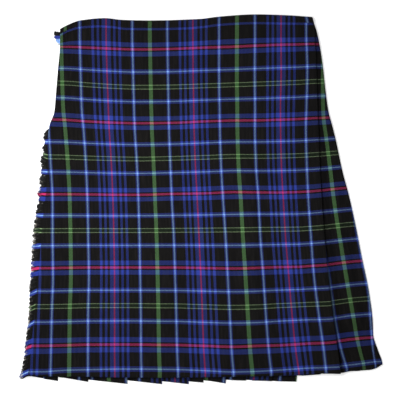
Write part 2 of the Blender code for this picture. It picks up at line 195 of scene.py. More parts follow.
@dataclass(frozen=True)
class Plan:
    """The kilt's outline as it lies, and the heights of its layers.

    The edges at the sides are places across by height, and the others heights by place across.
    """

    fringed_edge: Curve = Curve(*((height, left) for height, left, _, _ in EDGES))
    apron_fold: Curve = Curve(*((height, fold) for height, _, fold, _ in EDGES))
    side: Curve = Curve(*((height, right) for height, _, _, right in EDGES))
    band_top: Curve = Curve(
        (-241.0, 289.5), (-224.0, 298.0), (-207.0, 304.0), (-164.0, 308.0), (-135.0, 305.0),
        (-88.0, 304.0), (-3.0, 306.5), (30.0, 310.5), (93.0, 314.2), (142.0, 312.8),
        (187.0, 309.9),
    )
    band_seam: Curve = Curve(
        (-241.0, 281.0), (-235.5, 283.8), (-224.0, 289.4), (-207.0, 294.0), (-174.0, 296.0),
        (-152.0, 294.8), (-128.0, 291.7), (-91.0, 291.2), (-28.0, 292.4), (2.5, 294.8),
        (33.0, 298.6), (64.0, 300.4), (93.0, 301.2), (139.0, 300.4), (187.0, 299.8),
    )
    apron_hem: Curve = Curve(
        (-296.0, -301.0), (-240.0, -301.2), (-147.0, -302.8), (-70.0, -303.5), (60.0, -301.4),
        (150.0, -299.2), (190.0, -296.8), (207.0, -295.6), (236.5, -296.3),
    )
    side_hem: Curve = Curve(
        (150.0, -294.0), (236.0, -295.8), (256.0, -292.5), (286.0, -291.0), (299.0, -287.5),
        (309.5, -280.5),
    )
    hem: float = -300.0
    hip: float = 105.0
    seam_top: float = 295.0
    back_top_left: float = 287.0
    back_top_right: float = 309.9
    back_band_width: float = 10.0
    left_seam: tuple[float, float] = (-215.0, -270.0)
    right_seam: tuple[float, float] = (163.0, 272.0)
    gap: float = 0.06
    cloth: float = 1.2
    back_z: float = 0.6

    def back_top(self, across: Number) -> Number:
        """The band's straight top edge behind."""
        first, last = self.band_top.keys[0], self.band_top.keys[-1]
        return lerp(self.back_top_left, self.back_top_right, (across - first) / (last - first))

    def back_seam(self, across: Number) -> Number:
        """The seam below the band behind."""
        return self.back_top(across) - self.back_band_width

    def back_edge(self, across: Number) -> Number:
        """The top edge of the cloth that is sewn to the band behind."""
        return self.back_seam(across) - self.gap

    def seam_behind(self, ends: tuple[float, float], height: Number) -> Number:
        """The place across, at a height, of a seam behind whose top and hem are given."""
        return lerp(*ends, (self.seam_top - height) / (self.seam_top - self.hem))


PLAN = Plan()

# An outline's height and its place across lean on each other, so they are found in turns.
SETTLE_STEPS = 5

# A sheet's rim is rounded where its faces meet at more than this.
RIM_ANGLE = math.radians(60.0)

# The share across the front from which its layers climb toward the fold.
CLIMB_FROM = 2.0 / 7.0

# How far below the band its seam draws the cloth in.
SEAM_DRAW = 4.6


@dataclass(frozen=True)
class Line:
    """A thread of the cloth that the grain is read from: its number and its run."""

    place: float
    run: Curve


def read_between(at: np.ndarray, knots: list[np.ndarray], places: list[float]) -> np.ndarray:
    """Reads places in the cloth between knots that differ from point to point.

    Args:
        at: where to read, one number for each point.
        knots: rising knots, each with one number for each point.
        places: the place in the cloth that each knot stands for.

    Returns:
        The places, which run on past the outer knots.
    """
    result = np.zeros_like(at)
    for k in range(len(knots) - 1):
        share = (at - knots[k]) / (knots[k + 1] - knots[k])
        here = lerp(places[k], places[k + 1], share)
        result = here if k == 0 else np.where(at >= knots[k], here, result)
    return result


@dataclass(frozen=True)
class Grain:
    """How the threads of one panel run over the kilt: stripes down it and rows across."""

    stripes: tuple[Line, ...]
    rows: tuple[Line, ...]

    def across(self, x: np.ndarray, y: np.ndarray) -> np.ndarray:
        """The place in the warp at each point."""
        knots = [line.run.at(y) for line in self.stripes]
        return read_between(x, knots, [line.place for line in self.stripes])

    def down(self, x: np.ndarray, y: np.ndarray) -> np.ndarray:
        """The place in the weft at each point."""
        knots = [-line.run.at(x) for line in self.rows]
        return read_between(-y, knots, [line.place for line in self.rows])


def lines(keys: tuple[float, ...], table: dict[float, tuple[float, ...]]) -> tuple[Line, ...]:
    """Lines by number, whose runs are the rows of one table with its columns at the keys."""
    return tuple(Line(place, Curve(*zip(keys, run))) for place, run in table.items())


ROWS = lines(
    (-265, -233, -189, -146, -107, -53, 7, 57, 97, 127, 161, 185, 212, 233, 253, 274, 297),
    {
        0.0: (259.8, 259.6, 257.7, 255.8, 254.6, 255.7, 257.9, 259.2, 261.0, 262.3, 263.0, 263.7,
              264.3, 264.8, 265.0, 265.5, 266.0),
        62.0: (197.9, 197.6, 194.3, 191.6, 190.4, 190.8, 192.8, 194.5, 195.9, 196.9, 198.3, 199.7,
               201.3, 202.3, 203.3, 204.3, 205.3),
        124.0: (136.0, 135.0, 132.1, 130.2, 129.3, 129.9, 132.4, 133.9, 134.1, 135.0, 136.0, 137.4,
                138.9, 140.5, 142.0, 143.0, 144.0),
        248.0: (8.5, 8.5, 8.2, 7.7, 7.6, 9.0, 10.2, 12.2, 11.7, 11.5, 12.2, 13.4,
                16.0, 18.2, 20.0, 21.5, 23.0),
        284.9: (-27.5, -27.5, -27.7, -27.9, -27.7, -27.2, -26.4, -25.4, -25.0, -25.0, -24.7, -23.5,
                -21.1, -18.9, -17.0, -15.5, -14.0),
        372.0: (-117.0, -116.5, -115.9, -115.9, -115.9, -115.9, -116.8, -117.5, -116.3, -115.4,
                -114.8, -113.1, -111.4, -108.8, -106.4, -104.8, -103.0),
        459.1: (-209.0, -208.3, -207.2, -206.9, -207.1, -207.4, -209.3, -210.3, -209.3, -207.4,
                -205.7, -204.5, -203.8, -201.5, -198.4, -196.7, -195.6),
        496.0: (-249.0, -248.2, -247.0, -246.8, -247.0, -247.4, -249.1, -250.4, -248.7, -248.2,
                -246.5, -244.6, -243.4, -241.2, -238.5, -236.5, -235.2),
        532.9: (-293.0, -290.6, -289.4, -288.5, -288.5, -289.0, -291.1, -293.1, -292.0, -290.3,
                -288.0, -286.3, -285.2, -284.0, -281.8, -279.4, -276.5),
    },
)

APRON_GRAIN = Grain(
    stripes=lines((277, 219, 154, 122, 61, -2, -65, -130, -191, -260, -294), {
        -103.8: (-267.5, -266.0, -262.4, -260.2, -256.7, -253.3, -253.2, -252.6, -254.7, -256.2,
                 -257.0),
        -74.0: (-239.3, -237.7, -235.4, -232.1, -227.3, -224.1, -222.7, -222.1, -224.1, -224.8,
                -225.1),
        -44.2: (-207.0, -205.5, -203.5, -200.6, -196.5, -193.8, -192.5, -191.4, -192.6, -193.0,
                -193.0),
        0.0: (-162.2, -160.8, -158.4, -157.1, -153.3, -150.6, -148.9, -147.8, -147.8, -147.8,
              -147.4),
        44.2: (-117.8, -116.5, -114.9, -113.7, -110.0, -107.4, -105.6, -104.4, -103.4, -103.0,
               -102.2),
        103.8: (-57.8, -57.0, -55.8, -55.1, -52.9, -50.2, -46.8, -44.7, -42.8, -41.1, -39.6),
        148.0: (-14.5, -14.2, -13.1, -12.6, -10.4, -7.1, -4.1, -1.0, 1.5, 4.1, 6.6),
        192.2: (29.8, 29.7, 30.6, 31.1, 33.0, 36.7, 41.0, 44.4, 47.8, 51.3, 54.4),
        251.8: (91.0, 90.7, 91.2, 91.0, 92.7, 97.1, 100.2, 105.2, 109.3, 114.9, 119.0),
        296.0: (135.3, 135.5, 134.3, 134.5, 135.8, 139.2, 143.1, 148.4, 153.6, 160.8, 165.8),
        340.2: (178.0, 179.7, 178.2, 177.3, 178.8, 181.6, 186.0, 190.9, 198.4, 207.9, 211.8),
    }),
    rows=(
        Line(-35.8, PLAN.band_seam),
        Line(-32.4, PLAN.band_seam.moved(-SEAM_DRAW)),
    ) + ROWS,
)

SIDE_GRAIN = Grain(
    stripes=(
        Line(340.0, Curve(
            (296.0, 178.5), (220.0, 179.0), (142.0, 178.0), (104.0, 183.0), (53.0, 189.5),
            (17.0, 193.5), (-18.0, 198.0), (-69.0, 206.0), (-107.0, 212.3), (-125.0, 216.2),
            (-163.0, 221.5), (-198.0, 226.1), (-232.0, 232.1), (-258.0, 238.2), (-288.0, 247.4),
        )),
        Line(370.0, Curve(
            (296.0, 207.0), (177.0, 206.6), (142.0, 207.7), (104.0, 212.7), (53.0, 219.1),
            (17.0, 223.4), (-18.0, 228.0), (-69.0, 236.1), (-107.0, 242.3), (-147.0, 248.9),
            (-171.0, 253.3), (-202.0, 259.3), (-232.0, 264.4), (-256.0, 270.1), (-283.0, 277.6),
        )),
        Line(400.0, Curve(
            (296.0, 237.0), (142.0, 238.0), (53.0, 250.0), (-18.0, 259.0), (-95.0, 272.9),
            (-117.0, 277.6), (-144.0, 283.1), (-171.0, 286.8), (-197.0, 288.2), (-222.0, 289.9),
            (-246.0, 291.6), (-268.0, 294.3), (-285.0, 297.3),
        )),
    ),
    rows=ROWS,
)


class Yarn(Enum):
    """The dyed yarns, as they look to the eye, out of 255."""

    BLACK = (18, 17, 17)
    BLUE = (46, 62, 151)
    RED = (197, 51, 109)
    LIGHT_BLUE = (136, 176, 238)
    GREEN = (93, 143, 84)
    PALE_GREEN = (140, 166, 122)
    DARK_GREEN = (26, 44, 25)
    CREAM = (232, 226, 214)
    LINT = (112, 104, 100)
    NAVY_THREAD = (24, 26, 48)

    @property
    def colour(self) -> Colour:
        """The yarn's colour as the eye grades it, from 0 to 1, with an alpha of 1."""
        red, green, blue = (part / 255.0 for part in self.value)
        return red, green, blue, 1.0


@dataclass(frozen=True)
class ThreadCount:
    """One half of a mirrored sett: each yarn, and how far from the pivot it ends."""

    bands: tuple[tuple[Yarn, float], ...]

    @property
    def half(self) -> float:
        """The distance from one pivot to the next."""
        return self.bands[-1][1]

    def stops(self) -> tuple[tuple[float, Colour], ...]:
        """The sett as the stops of a ramp from 0 to 1."""
        pairs = zip([0.0] + [end for _, end in self.bands], self.bands)
        return tuple((start / self.half, yarn.colour) for start, (yarn, _) in pairs)


WARP = ThreadCount((
    (Yarn.RED, 1.0), (Yarn.BLUE, 7.3), (Yarn.BLACK, 11.7), (Yarn.BLUE, 15.8),
    (Yarn.BLACK, 20.5), (Yarn.BLUE, 24.7), (Yarn.BLACK, 41.0), (Yarn.BLUE, 43.0),
    (Yarn.LIGHT_BLUE, 45.4), (Yarn.BLUE, 47.3), (Yarn.BLACK, 70.7), (Yarn.GREEN, 73.95),
))
WEFT = ThreadCount((
    (Yarn.RED, 1.7), (Yarn.BLACK, 4.0), (Yarn.BLUE, 11.4), (Yarn.BLACK, 32.8),
    (Yarn.BLUE, 35.9), (Yarn.LIGHT_BLUE, 37.8), (Yarn.BLUE, 40.8), (Yarn.BLACK, 57.9),
    (Yarn.PALE_GREEN, 59.2), (Yarn.DARK_GREEN, 62.0),
))


class Wire:
    """A node's output that takes Python's arithmetic, which adds the Math nodes."""

    def __init__(self, tree: Tree, socket: bpy.types.NodeSocket) -> None:
        """Keeps the socket and the tree that it belongs to."""
        self.tree = tree
        self.socket = socket

    def math(self, operation: str, *others: Wire | float) -> Wire:
        """One Math node on this value and up to two others."""
        values = dict(enumerate((self, *others)))
        return self.tree.node("ShaderNodeMath", values, operation=operation)

    def __add__(self, other: Wire | float) -> Wire:
        """This value plus another."""
        return self.math("ADD", other)

    def __mul__(self, other: Wire | float) -> Wire:
        """This value times another."""
        return self.math("MULTIPLY", other)

    def __sub__(self, other: Wire | float) -> Wire:
        """This value less another."""
        return self.math("SUBTRACT", other)

    def __rsub__(self, other: float) -> Wire:
        """A number less this value."""
        return self.math("MULTIPLY_ADD", -1.0, other)

    def __truediv__(self, other: Wire | float) -> Wire:
        """This value over another."""
        return self.math("DIVIDE", other)

    def __neg__(self) -> Wire:
        """This value with its sign turned."""
        return self.math("MULTIPLY", -1.0)

    __radd__ = __add__
    __rmul__ = __mul__


class Tree:
    """A node tree, whose nodes all come from one method."""

    def __init__(self, tree: bpy.types.NodeTree) -> None:
        """Keeps the tree that the nodes go into."""
        self.tree = tree

    def node(
        self, kind: str, inputs: dict | None = None, output: int | str = 0, **settings: object
    ) -> Wire:
        """Adds one node.

        Args:
            kind: the node's type.
            inputs: values or wires by the name or number of each socket.
            output: the name or number of the socket to return.
            settings: the node's own settings, and a ramp's stops.

        Returns:
            The wire of that output.
        """
        made = self.tree.nodes.new(kind)
        for key, value in settings.items():
            if key == "stops":
                self._set_stops(made.color_ramp, value)
            else:
                setattr(made, key, value)
        for key, value in (inputs or {}).items():
            if isinstance(value, Wire):
                self.tree.links.new(value.socket, made.inputs[key])
            else:
                made.inputs[key].default_value = value
        return Wire(self, made.outputs[output])

    @staticmethod
    def _set_stops(ramp: bpy.types.ColorRamp, stops: tuple[tuple[float, Colour], ...]) -> None:
        """Gives a ramp its stops, which change from one to the next without a blend.

        Args:
            ramp: the ramp.
            stops: the place of each stop and its colour.
        """
        ramp.interpolation = "CONSTANT"
        while len(ramp.elements) < len(stops):
            ramp.elements.new(1.0)
        for element, (place, colour) in zip(ramp.elements, stops):
            element.position = place
            element.color = colour

    def join(self, *parts: Wire | float) -> Wire:
        """A vector of up to three values."""
        return self.node("ShaderNodeCombineXYZ", dict(enumerate(parts)))

    def split(self, vector: Wire) -> tuple[Wire, ...]:
        """The three values of a vector."""
        made = self.node("ShaderNodeSeparateXYZ", {0: vector}).socket.node
        return tuple(Wire(self, socket) for socket in made.outputs)


class Shader(Tree):
    """A material's node tree."""

    # The Mix node has sockets for each kind of value, so the colours' go by number.
    MIX_FIRST, MIX_SECOND, MIX_RESULT = 6, 7, 2

    def __init__(self, name: str, **surface: float) -> None:
        """Makes the material.

        Args:
            name: the material's name.
            surface: constants for the Principled BSDF, with _ for each space in a name.
        """
        self.material = bpy.data.materials.new(name)
        self.material.use_nodes = True
        super().__init__(self.material.node_tree)
        self.surface = self.tree.nodes["Principled BSDF"]
        for key, value in surface.items():
            self.surface.inputs[key.replace("_", " ")].default_value = value

    def mix(self, share: Wire | float, first: Wire | Colour, second: Wire | Colour) -> Wire:
        """A colour a share of the way from the first to the second."""
        inputs = {0: share, self.MIX_FIRST: first, self.MIX_SECOND: second}
        return self.node("ShaderNodeMix", inputs, self.MIX_RESULT, data_type="RGBA")

    def scale(self, colour: Wire, by: Wire) -> Wire:
        """A colour made lighter or darker by a value."""
        inputs = {"Vector": colour, "Scale": by}
        return self.node("ShaderNodeVectorMath", inputs, operation="SCALE")

    def noise(self, vector: Wire, size: float, detail: float = 2.0) -> Wire:
        """Noise from 0 to 1 whose patches are about size millimetres across."""
        inputs = {"Vector": vector, "Scale": 1.0 / (size * MM), "Detail": detail}
        return self.node("ShaderNodeTexNoise", inputs, "Fac")

    def weave(self) -> tuple[Wire, Wire]:
        """The places in the warp and in the weft, in metres."""
        warp, weft, _ = self.split(self.node("ShaderNodeUVMap", uv_map=WEAVE_MAP))
        return warp, weft

    def place(self) -> Wire:
        """The place on the piece, in metres."""
        return self.node("ShaderNodeTexCoord", output="Object")

    def sett(self, place: Wire, count: ThreadCount) -> Wire:
        """Reads the yarn's colour in a mirrored sett.

        Args:
            place: the place in metres.
            count: the sett.

        Returns:
            The colour.
        """
        half = count.half * MM
        share = place.math("PINGPONG", half) / half
        return self.node("ShaderNodeValToRGB", {0: share}, stops=count.stops())

    def finish(self, colour: Wire, height: Wire | None = None, depth: float = 0.0) -> None:
        """Joins the colour, and a bump where there is one, to the surface.

        Args:
            colour: the base colour, as the eye grades it.
            height: the relief from 0 to 1.
            depth: how deep the relief is, in millimetres.
        """
        light = self.node("ShaderNodeGamma", {"Color": colour, "Gamma": EYE_GAMMA})
        self.tree.links.new(light.socket, self.surface.inputs["Base Color"])
        if height is not None:
            inputs = {"Strength": 1.0, "Distance": depth * MM, "Height": height}
            bump = self.node("ShaderNodeBump", inputs)
            self.tree.links.new(bump.socket, self.surface.inputs["Normal"])


@dataclass(frozen=True)
class TartanFinish:
    """Worsted tartan in a two-and-two twill, with lint along its ribs."""

    name: str = "tartan_twill"
    twill: float = 2.4
    twill_contrast: float = 0.3
    brightness: float = 0.95
    shade: float = 0.1
    shade_size: float = 70.0
    fibre: float = 0.2
    fibre_size: float = 1.8
    rib: float = 3.2
    rib_length: float = 34.0
    lint: float = 0.34
    lint_from: float = 0.42
    lint_fibre: float = 0.8
    relief: float = 0.14
    ridge_relief: float = 0.35
    rib_relief: float = 0.6

    def material(self) -> bpy.types.Material:
        """Makes the cloth's material, which follows the piece's own threads.

        Returns:
            The material.
        """
        shader = Shader(
            self.name, Roughness=0.88, Specular_IOR_Level=0.12, Sheen_Weight=0.04,
            Sheen_Roughness=0.5,
        )
        warp, weft = shader.weave()
        place = shader.place()
        ridge = ((warp + weft) * (2.0 * math.pi / (self.twill * MM))).math("SINE")
        over = 0.5 + ridge * self.twill_contrast
        colour = shader.mix(over, shader.sett(warp, WARP), shader.sett(weft, WEFT))
        patches = shader.noise(place, self.shade_size)
        fibres = shader.noise(place, self.fibre_size, detail=3.0)
        light = self.brightness + (patches - 0.5) * self.shade + (fibres - 0.5) * self.fibre
        stretched = shader.join(warp, weft * (self.rib / self.rib_length))
        ribs = shader.noise(stretched, self.rib)
        lint = ((ribs - self.lint_from) * self.lint).math("MAXIMUM", 0.0)
        lint = lint * (1.0 + (fibres - 0.5) * self.lint_fibre)
        worn = shader.mix(lint, shader.scale(colour, light), Yarn.LINT.colour)
        height = ridge * self.ridge_relief + fibres + ribs * self.rib_relief
        shader.finish(worn, height, self.relief)
        return shader.material


@dataclass(frozen=True)
class FringeFinish:
    """Loose weft yarn: each strand keeps its row's dye, and its tip has gone pale."""

    name: str = "fringe_wool"
    brightness: float = 0.95
    fibre: float = 0.3
    fibre_size: float = 2.2
    pale_from: float = 1.0
    pale_fibre: float = 0.4
    pale_rate: float = 3.0
    palest: float = 0.85

    def material(self) -> bpy.types.Material:
        """Makes the strands' material, which reads each strand's length and row.

        Returns:
            The material.
        """
        shader = Shader(self.name, Roughness=0.92, Specular_IOR_Level=0.1, Sheen_Weight=0.1)
        along, weft = shader.weave()
        fibres = shader.noise(shader.place(), self.fibre_size, detail=3.0) - 0.5
        worn = (along + fibres * self.pale_fibre - self.pale_from) * self.pale_rate
        worn = worn.math("MAXIMUM", 0.0).math("MINIMUM", self.palest)
        pale = shader.mix(worn, shader.sett(weft, WEFT), Yarn.CREAM.colour)
        shader.finish(shader.scale(pale, self.brightness + fibres * self.fibre))
        return shader.material


@dataclass(frozen=True)
class ThreadFinish:
    """Sewing thread, a little uneven along it."""

    name: str = "sewing_thread"
    yarn: Yarn = Yarn.NAVY_THREAD
    fibre_size: float = 0.8

    def material(self) -> bpy.types.Material:
        """Makes the thread's material.

        Returns:
            The material.
        """
        shader = Shader(self.name, Roughness=0.6, Specular_IOR_Level=0.3)
        fibres = shader.noise(shader.place(), self.fibre_size)
        shader.finish(shader.mix(fibres, self.yarn.colour, Yarn.BLACK.colour))
        return shader.material


@dataclass(frozen=True)
class Crease:
    """A soft ridge, or a trough where its lift is below 0, between two places."""

    start: tuple[float, float]
    end: tuple[float, float]
    half_width: float
    lift: float
    ends: float = 0.25

    def rise(self, x: np.ndarray, y: np.ndarray) -> np.ndarray:
        """Works out how far it lifts the cloth at each point.

        Args:
            x: places across.
            y: heights.

        Returns:
            The lift in millimetres.
        """
        run = np.array(self.end) - np.array(self.start)
        length = math.hypot(*run)
        way = run / length
        along = ((x - self.start[0]) * way[0] + (y - self.start[1]) * way[1]) / length
        aside = ((y - self.start[1]) * way[0] - (x - self.start[0]) * way[1]) / self.half_width
        fade = ease(along, 0.0, self.ends) * ease(along, 1.0, 1.0 - self.ends)
        return self.lift * fade * np.clip(1.0 - aside * aside, 0.0, 1.0) ** 2


@dataclass(frozen=True)
class Cut:
    """What a panel is cut to, in metres, before it is sewn and laid."""

    width: float
    length: float
    area: float | None = None


class Held(Enum):
    """How a panel's cloth lies."""

    LAID = "laid"
    FOLDED = "folded"


@dataclass
class Panel:
    """A panel of cloth: a grid of points along its threads, given a wall's thickness."""

    name: str
    node: str
    cut: Cut
    rests_on: tuple[str, ...]
    slot: str = "tartan"
    held: Held = Held.FOLDED
    wall: float = 1.1
    rim_share: float = 0.22
    creases: tuple[Crease, ...] = ()

    def rise(self, x: np.ndarray, y: np.ndarray) -> np.ndarray:
        """How far the creases lift the cloth at each point."""
        return sum((crease.rise(x, y) for crease in self.creases), np.zeros_like(x))

    def grid(self) -> tuple[np.ndarray, np.ndarray]:
        """The points, and the places of each in the warp and the weft."""
        raise NotImplementedError

    def build(
        self, finish: bpy.types.Material, with_pieces: tuple[bpy.types.Object, ...] = ()
    ) -> bpy.types.Object:
        """Makes the panel, dresses it and puts it in its node's place.

        Args:
            finish: its material.
            with_pieces: the pieces sewn to it; not used.

        Returns:
            The finished object.
        """
        points, weave = self.grid()
        made = self.make_object(points, weave)
        made.data.materials.append(finish)
        wall = made.modifiers.new("Wall", "SOLIDIFY")
        wall.thickness = self.wall * MM
        wall.offset = 0.0
        wall.use_even_offset = True
        rim = made.modifiers.new("Rim", "BEVEL")
        rim.limit_method = "ANGLE"
        rim.angle_limit = RIM_ANGLE
        rim.width = self.wall * self.rim_share * MM
        rim.segments = 2
        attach(made, BODY)
        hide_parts(self.node)
        LOG.info("%s: %d points", self.name, points.shape[0] * points.shape[1])
        return made

    def make_object(self, points: np.ndarray, weave: np.ndarray) -> bpy.types.Object:
        """An open sheet through a grid of points, with the places of its threads as a map.

        Args:
            points: rows of points, in millimetres.
            weave: rows of places in the warp and the weft, in millimetres.

        Returns:
            The sheet.
        """
        rows, columns = points.shape[:2]
        corner = np.arange(rows * columns).reshape(rows, columns)
        faces = np.stack(
            (corner[:-1, :-1], corner[1:, :-1], corner[1:, 1:], corner[:-1, 1:]), axis=-1
        ).reshape(-1, 4)
        mesh = bpy.data.meshes.new(self.name)
        mesh.from_pydata((points.reshape(-1, 3) * MM).tolist(), [], faces.tolist())
        layer = mesh.uv_layers.new(name=WEAVE_MAP)
        flat = weave.reshape(-1, 2)[faces.reshape(-1)] * MM
        layer.data.foreach_set("uv", flat.astype(np.float32).ravel())
        mesh.shade_smooth()
        return add_object(self.name, mesh)


def arc(
    centre_x: np.ndarray, centre_z: Number, radius: Number, start: float, end: float, sides: int
) -> tuple[list[np.ndarray], list[np.ndarray]]:
    """Works out an arc in a section, from one angle to another in degrees.

    Args:
        centre_x: the centre's place across, a number for each row.
        centre_z: the centre's height above the surface, one number or one for each row.
        radius: the radius, one number or one for each row.
        start: the first angle.
        end: the last angle.
        sides: the number of steps.

    Returns:
        Two lists of columns: the places across and the heights.
    """
    angles = np.radians(lerp(start, end, shares(sides)))
    across = [centre_x + radius * math.cos(a) for a in angles]
    heights = [np.zeros_like(centre_x) + centre_z + radius * math.sin(a) for a in angles]
    return across, heights


@dataclass
class OverApron(Panel):
    """The plain front panel, with the cloth turned under at its fold."""

    name: str = "over_apron_cloth"
    node: str = "over_apron"
    cut: Cut = Cut(0.59, 0.6, 0.325)
    rests_on: tuple[str, ...] = ("under_apron", "side_pleat")
    held: Held = Held.LAID
    columns: int = 130
    rows: int = 146
    sewn_column: int = 1
    turn_columns: int = 12
    fold_sides: int = 8
    turn_depth: float = 60.0
    turn_top: float = 0.6
    left_z: float = 8.3
    right_z: float = 10.6
    turn_z: float = 8.8
    crease_end: float = 0.75
    lift_from: float = 6.0 / 7.0
    fold_lift: Curve = Curve(
        (300.0, 0.0), (60.0, 0.3), (-70.0, 1.2), (-130.0, 2.5), (-200.0, 3.4), (-300.0, 3.6)
    )
    creases: tuple[Crease, ...] = (
        Crease((76.0, 130.0), (93.0, -330.0), 30.0, 1.5),
        Crease((82.0, 60.0), (98.0, -235.0), 9.0, 1.1),
        Crease((136.0, 60.0), (164.0, -340.0), 42.0, -1.8),
        Crease((30.0, -60.0), (42.0, -330.0), 30.0, 1.5),
        Crease((-60.0, 60.0), (-72.0, -330.0), 34.0, 1.8),
        Crease((-150.0, -40.0), (-168.0, -330.0), 32.0, 1.5),
        Crease((-225.0, 180.0), (-262.0, -200.0), 20.0, 1.6),
        Crease((-120.0, 300.0), (-90.0, 170.0), 28.0, 1.2),
        Crease((90.0, 300.0), (70.0, 190.0), 36.0, 1.0),
        Crease((-30.0, 250.0), (10.0, 90.0), 26.0, 0.9),
    )

    @property
    def radius(self) -> float:
        """The radius of the fold at the apron's edge."""
        return (self.right_z - self.turn_z) / 2.0

    def settle(
        self, share_across: np.ndarray, share_down: np.ndarray
    ) -> tuple[np.ndarray, np.ndarray]:
        """Finds where points of the apron lie on the plan.

        Args:
            share_across: shares from the fringed edge to the fold.
            share_down: shares from the waist to the hem.

        Returns:
            The places across and the heights.
        """
        across = lerp(PLAN.fringed_edge.at(0.0), PLAN.apron_fold.at(0.0), share_across)
        for _ in range(SETTLE_STEPS):
            top = PLAN.band_seam.at(across) - PLAN.gap
            height = lerp(top, PLAN.apron_hem.at(across), share_down)
            fold = PLAN.apron_fold.at(height) - self.radius
            across = lerp(PLAN.fringed_edge.at(height), fold, share_across)
        return across, height

    def grid(self) -> tuple[np.ndarray, np.ndarray]:
        """Lays the apron and turns its edge under.

        Returns:
            The points, and the places of each in the warp and the weft.
        """
        share_down, share = np.meshgrid(shares(self.rows), shares(self.columns), indexing="ij")
        x, y = self.settle(share, share_down)
        z = lerp(self.left_z, self.right_z, ease(share, CLIMB_FROM, 1.0))
        z = z + self.rise(x, y) * ease(share, 1.0, self.crease_end)
        z = z + self.fold_lift.at(y) * ease(share, self.lift_from, 1.0)
        warp, weft = APRON_GRAIN.across(x, y), APRON_GRAIN.down(x, y)
        edge, height = x[:, -1], y[:, -1]
        lift = self.fold_lift.at(height)
        middle = (self.right_z + self.turn_z) / 2.0 + lift
        fold_x, fold_z = arc(edge, middle, self.radius, 90.0, -90.0, self.fold_sides)
        depth = self.turn_depth * lerp(self.turn_top, 1.0, shares(self.rows))
        inward = shares(self.turn_columns)[1:]
        more_x = np.stack(fold_x[1:] + [edge - depth * s for s in inward], axis=1)
        sunk = [self.turn_z + lift * (1.0 - s) for s in inward]
        more_z = np.stack(fold_z[1:] + sunk, axis=1)
        more_y = np.repeat(height[:, None], more_x.shape[1], axis=1)
        around = math.pi * self.radius
        fold_run = np.tile(shares(self.fold_sides)[1:] * around, (len(edge), 1))
        run = np.concatenate((fold_run, np.outer(depth, inward) + around), axis=1)
        more_weft = np.repeat(weft[:, -1:], more_x.shape[1], axis=1)
        points = side_by_side((x, more_x), (y, more_y), (z, more_z))
        return points, side_by_side((warp, warp[:, -1:] + run), (weft, more_weft))


@dataclass
class SidePleat(Panel):
    """The deep pleat beyond the fold, which rolls round the side to the back.

    It starts some way under the apron, and droops toward its roll.
    """

    name: str = "side_pleat_cloth"
    node: str = "side_pleat"
    cut: Cut = Cut(0.2, 0.6, 0.1)
    rests_on: tuple[str, ...] = ("pleated_back",)
    columns: int = 34
    rows: int = 120
    roll_sides: int = 10
    back_columns: int = 6
    under: float = 75.0
    top_z: float = 7.2
    crease_end: float = 5.0 / 6.0
    droop_from: float = 0.375
    droop: Curve = Curve((315.0, 0.4), (150.0, 1.2), (-50.0, 2.8), (-300.0, 4.4))
    creases: tuple[Crease, ...] = (
        Crease((205.0, 110.0), (243.0, -340.0), 12.0, -0.8),
        Crease((222.0, 90.0), (274.0, -340.0), 17.0, 1.5),
        Crease((243.0, 20.0), (294.0, -270.0), 12.0, -0.9),
        Crease((262.0, -150.0), (306.0, -330.0), 14.0, 1.2),
    )

    def grid(self) -> tuple[np.ndarray, np.ndarray]:
        """Lays the pleat and rolls it round the side as far as its seam behind.

        Returns:
            The points, and the places of each in the warp and the weft.
        """
        share_down, share = np.meshgrid(shares(self.rows), shares(self.columns), indexing="ij")
        y = lerp(PLAN.seam_top, PLAN.hem, share_down)
        for _ in range(SETTLE_STEPS):
            start = PLAN.apron_fold.at(y) - self.under
            radius = (self.top_z - self.droop.at(y) - PLAN.back_z) / 2.0
            end = PLAN.side.at(y) - self.wall / 2.0 - radius
            x = lerp(start, end, share)
            y = lerp(PLAN.back_edge(x), PLAN.side_hem.at(x), share_down)
        z = self.top_z + self.rise(x, y) * ease(share, 1.0, self.crease_end)
        z = z - self.droop.at(y) * ease(share, self.droop_from, 1.0)
        warp, weft = SIDE_GRAIN.across(x, y), SIDE_GRAIN.down(x, y)
        edge, radius = x[:, -1], radius[:, -1]
        hem, down = PLAN.side_hem.at(edge), shares(self.rows)
        roll_x, roll_z = arc(edge, PLAN.back_z + radius, radius, 90.0, -90.0, self.roll_sides)
        seam = PLAN.seam_behind(PLAN.right_seam, y[:, -1]) + PLAN.gap / 2.0
        for _ in range(SETTLE_STEPS):
            seam_y = lerp(PLAN.back_edge(seam), hem, down)
            seam = PLAN.seam_behind(PLAN.right_seam, seam_y) + PLAN.gap / 2.0
        back = [lerp(roll_x[-1], seam, s) for s in shares(self.back_columns)[1:]]
        more_x = np.stack(roll_x[1:] + back, axis=1)
        more_z = np.stack(roll_z[1:] + [np.full_like(edge, PLAN.back_z)] * len(back), axis=1)
        more_y = lerp(PLAN.back_edge(more_x), hem[:, None], down[:, None])
        section = side_by_side((x[:, -1:], more_x), (z[:, -1:], more_z))
        run = run_along(section[..., 0], section[..., 1])[:, 1:]
        more_weft = np.repeat(weft[:, -1:], more_x.shape[1], axis=1)
        points = side_by_side((x, more_x), (y, more_y), (z, more_z))
        return points, side_by_side((warp, warp[:, -1:] + run), (weft, more_weft))


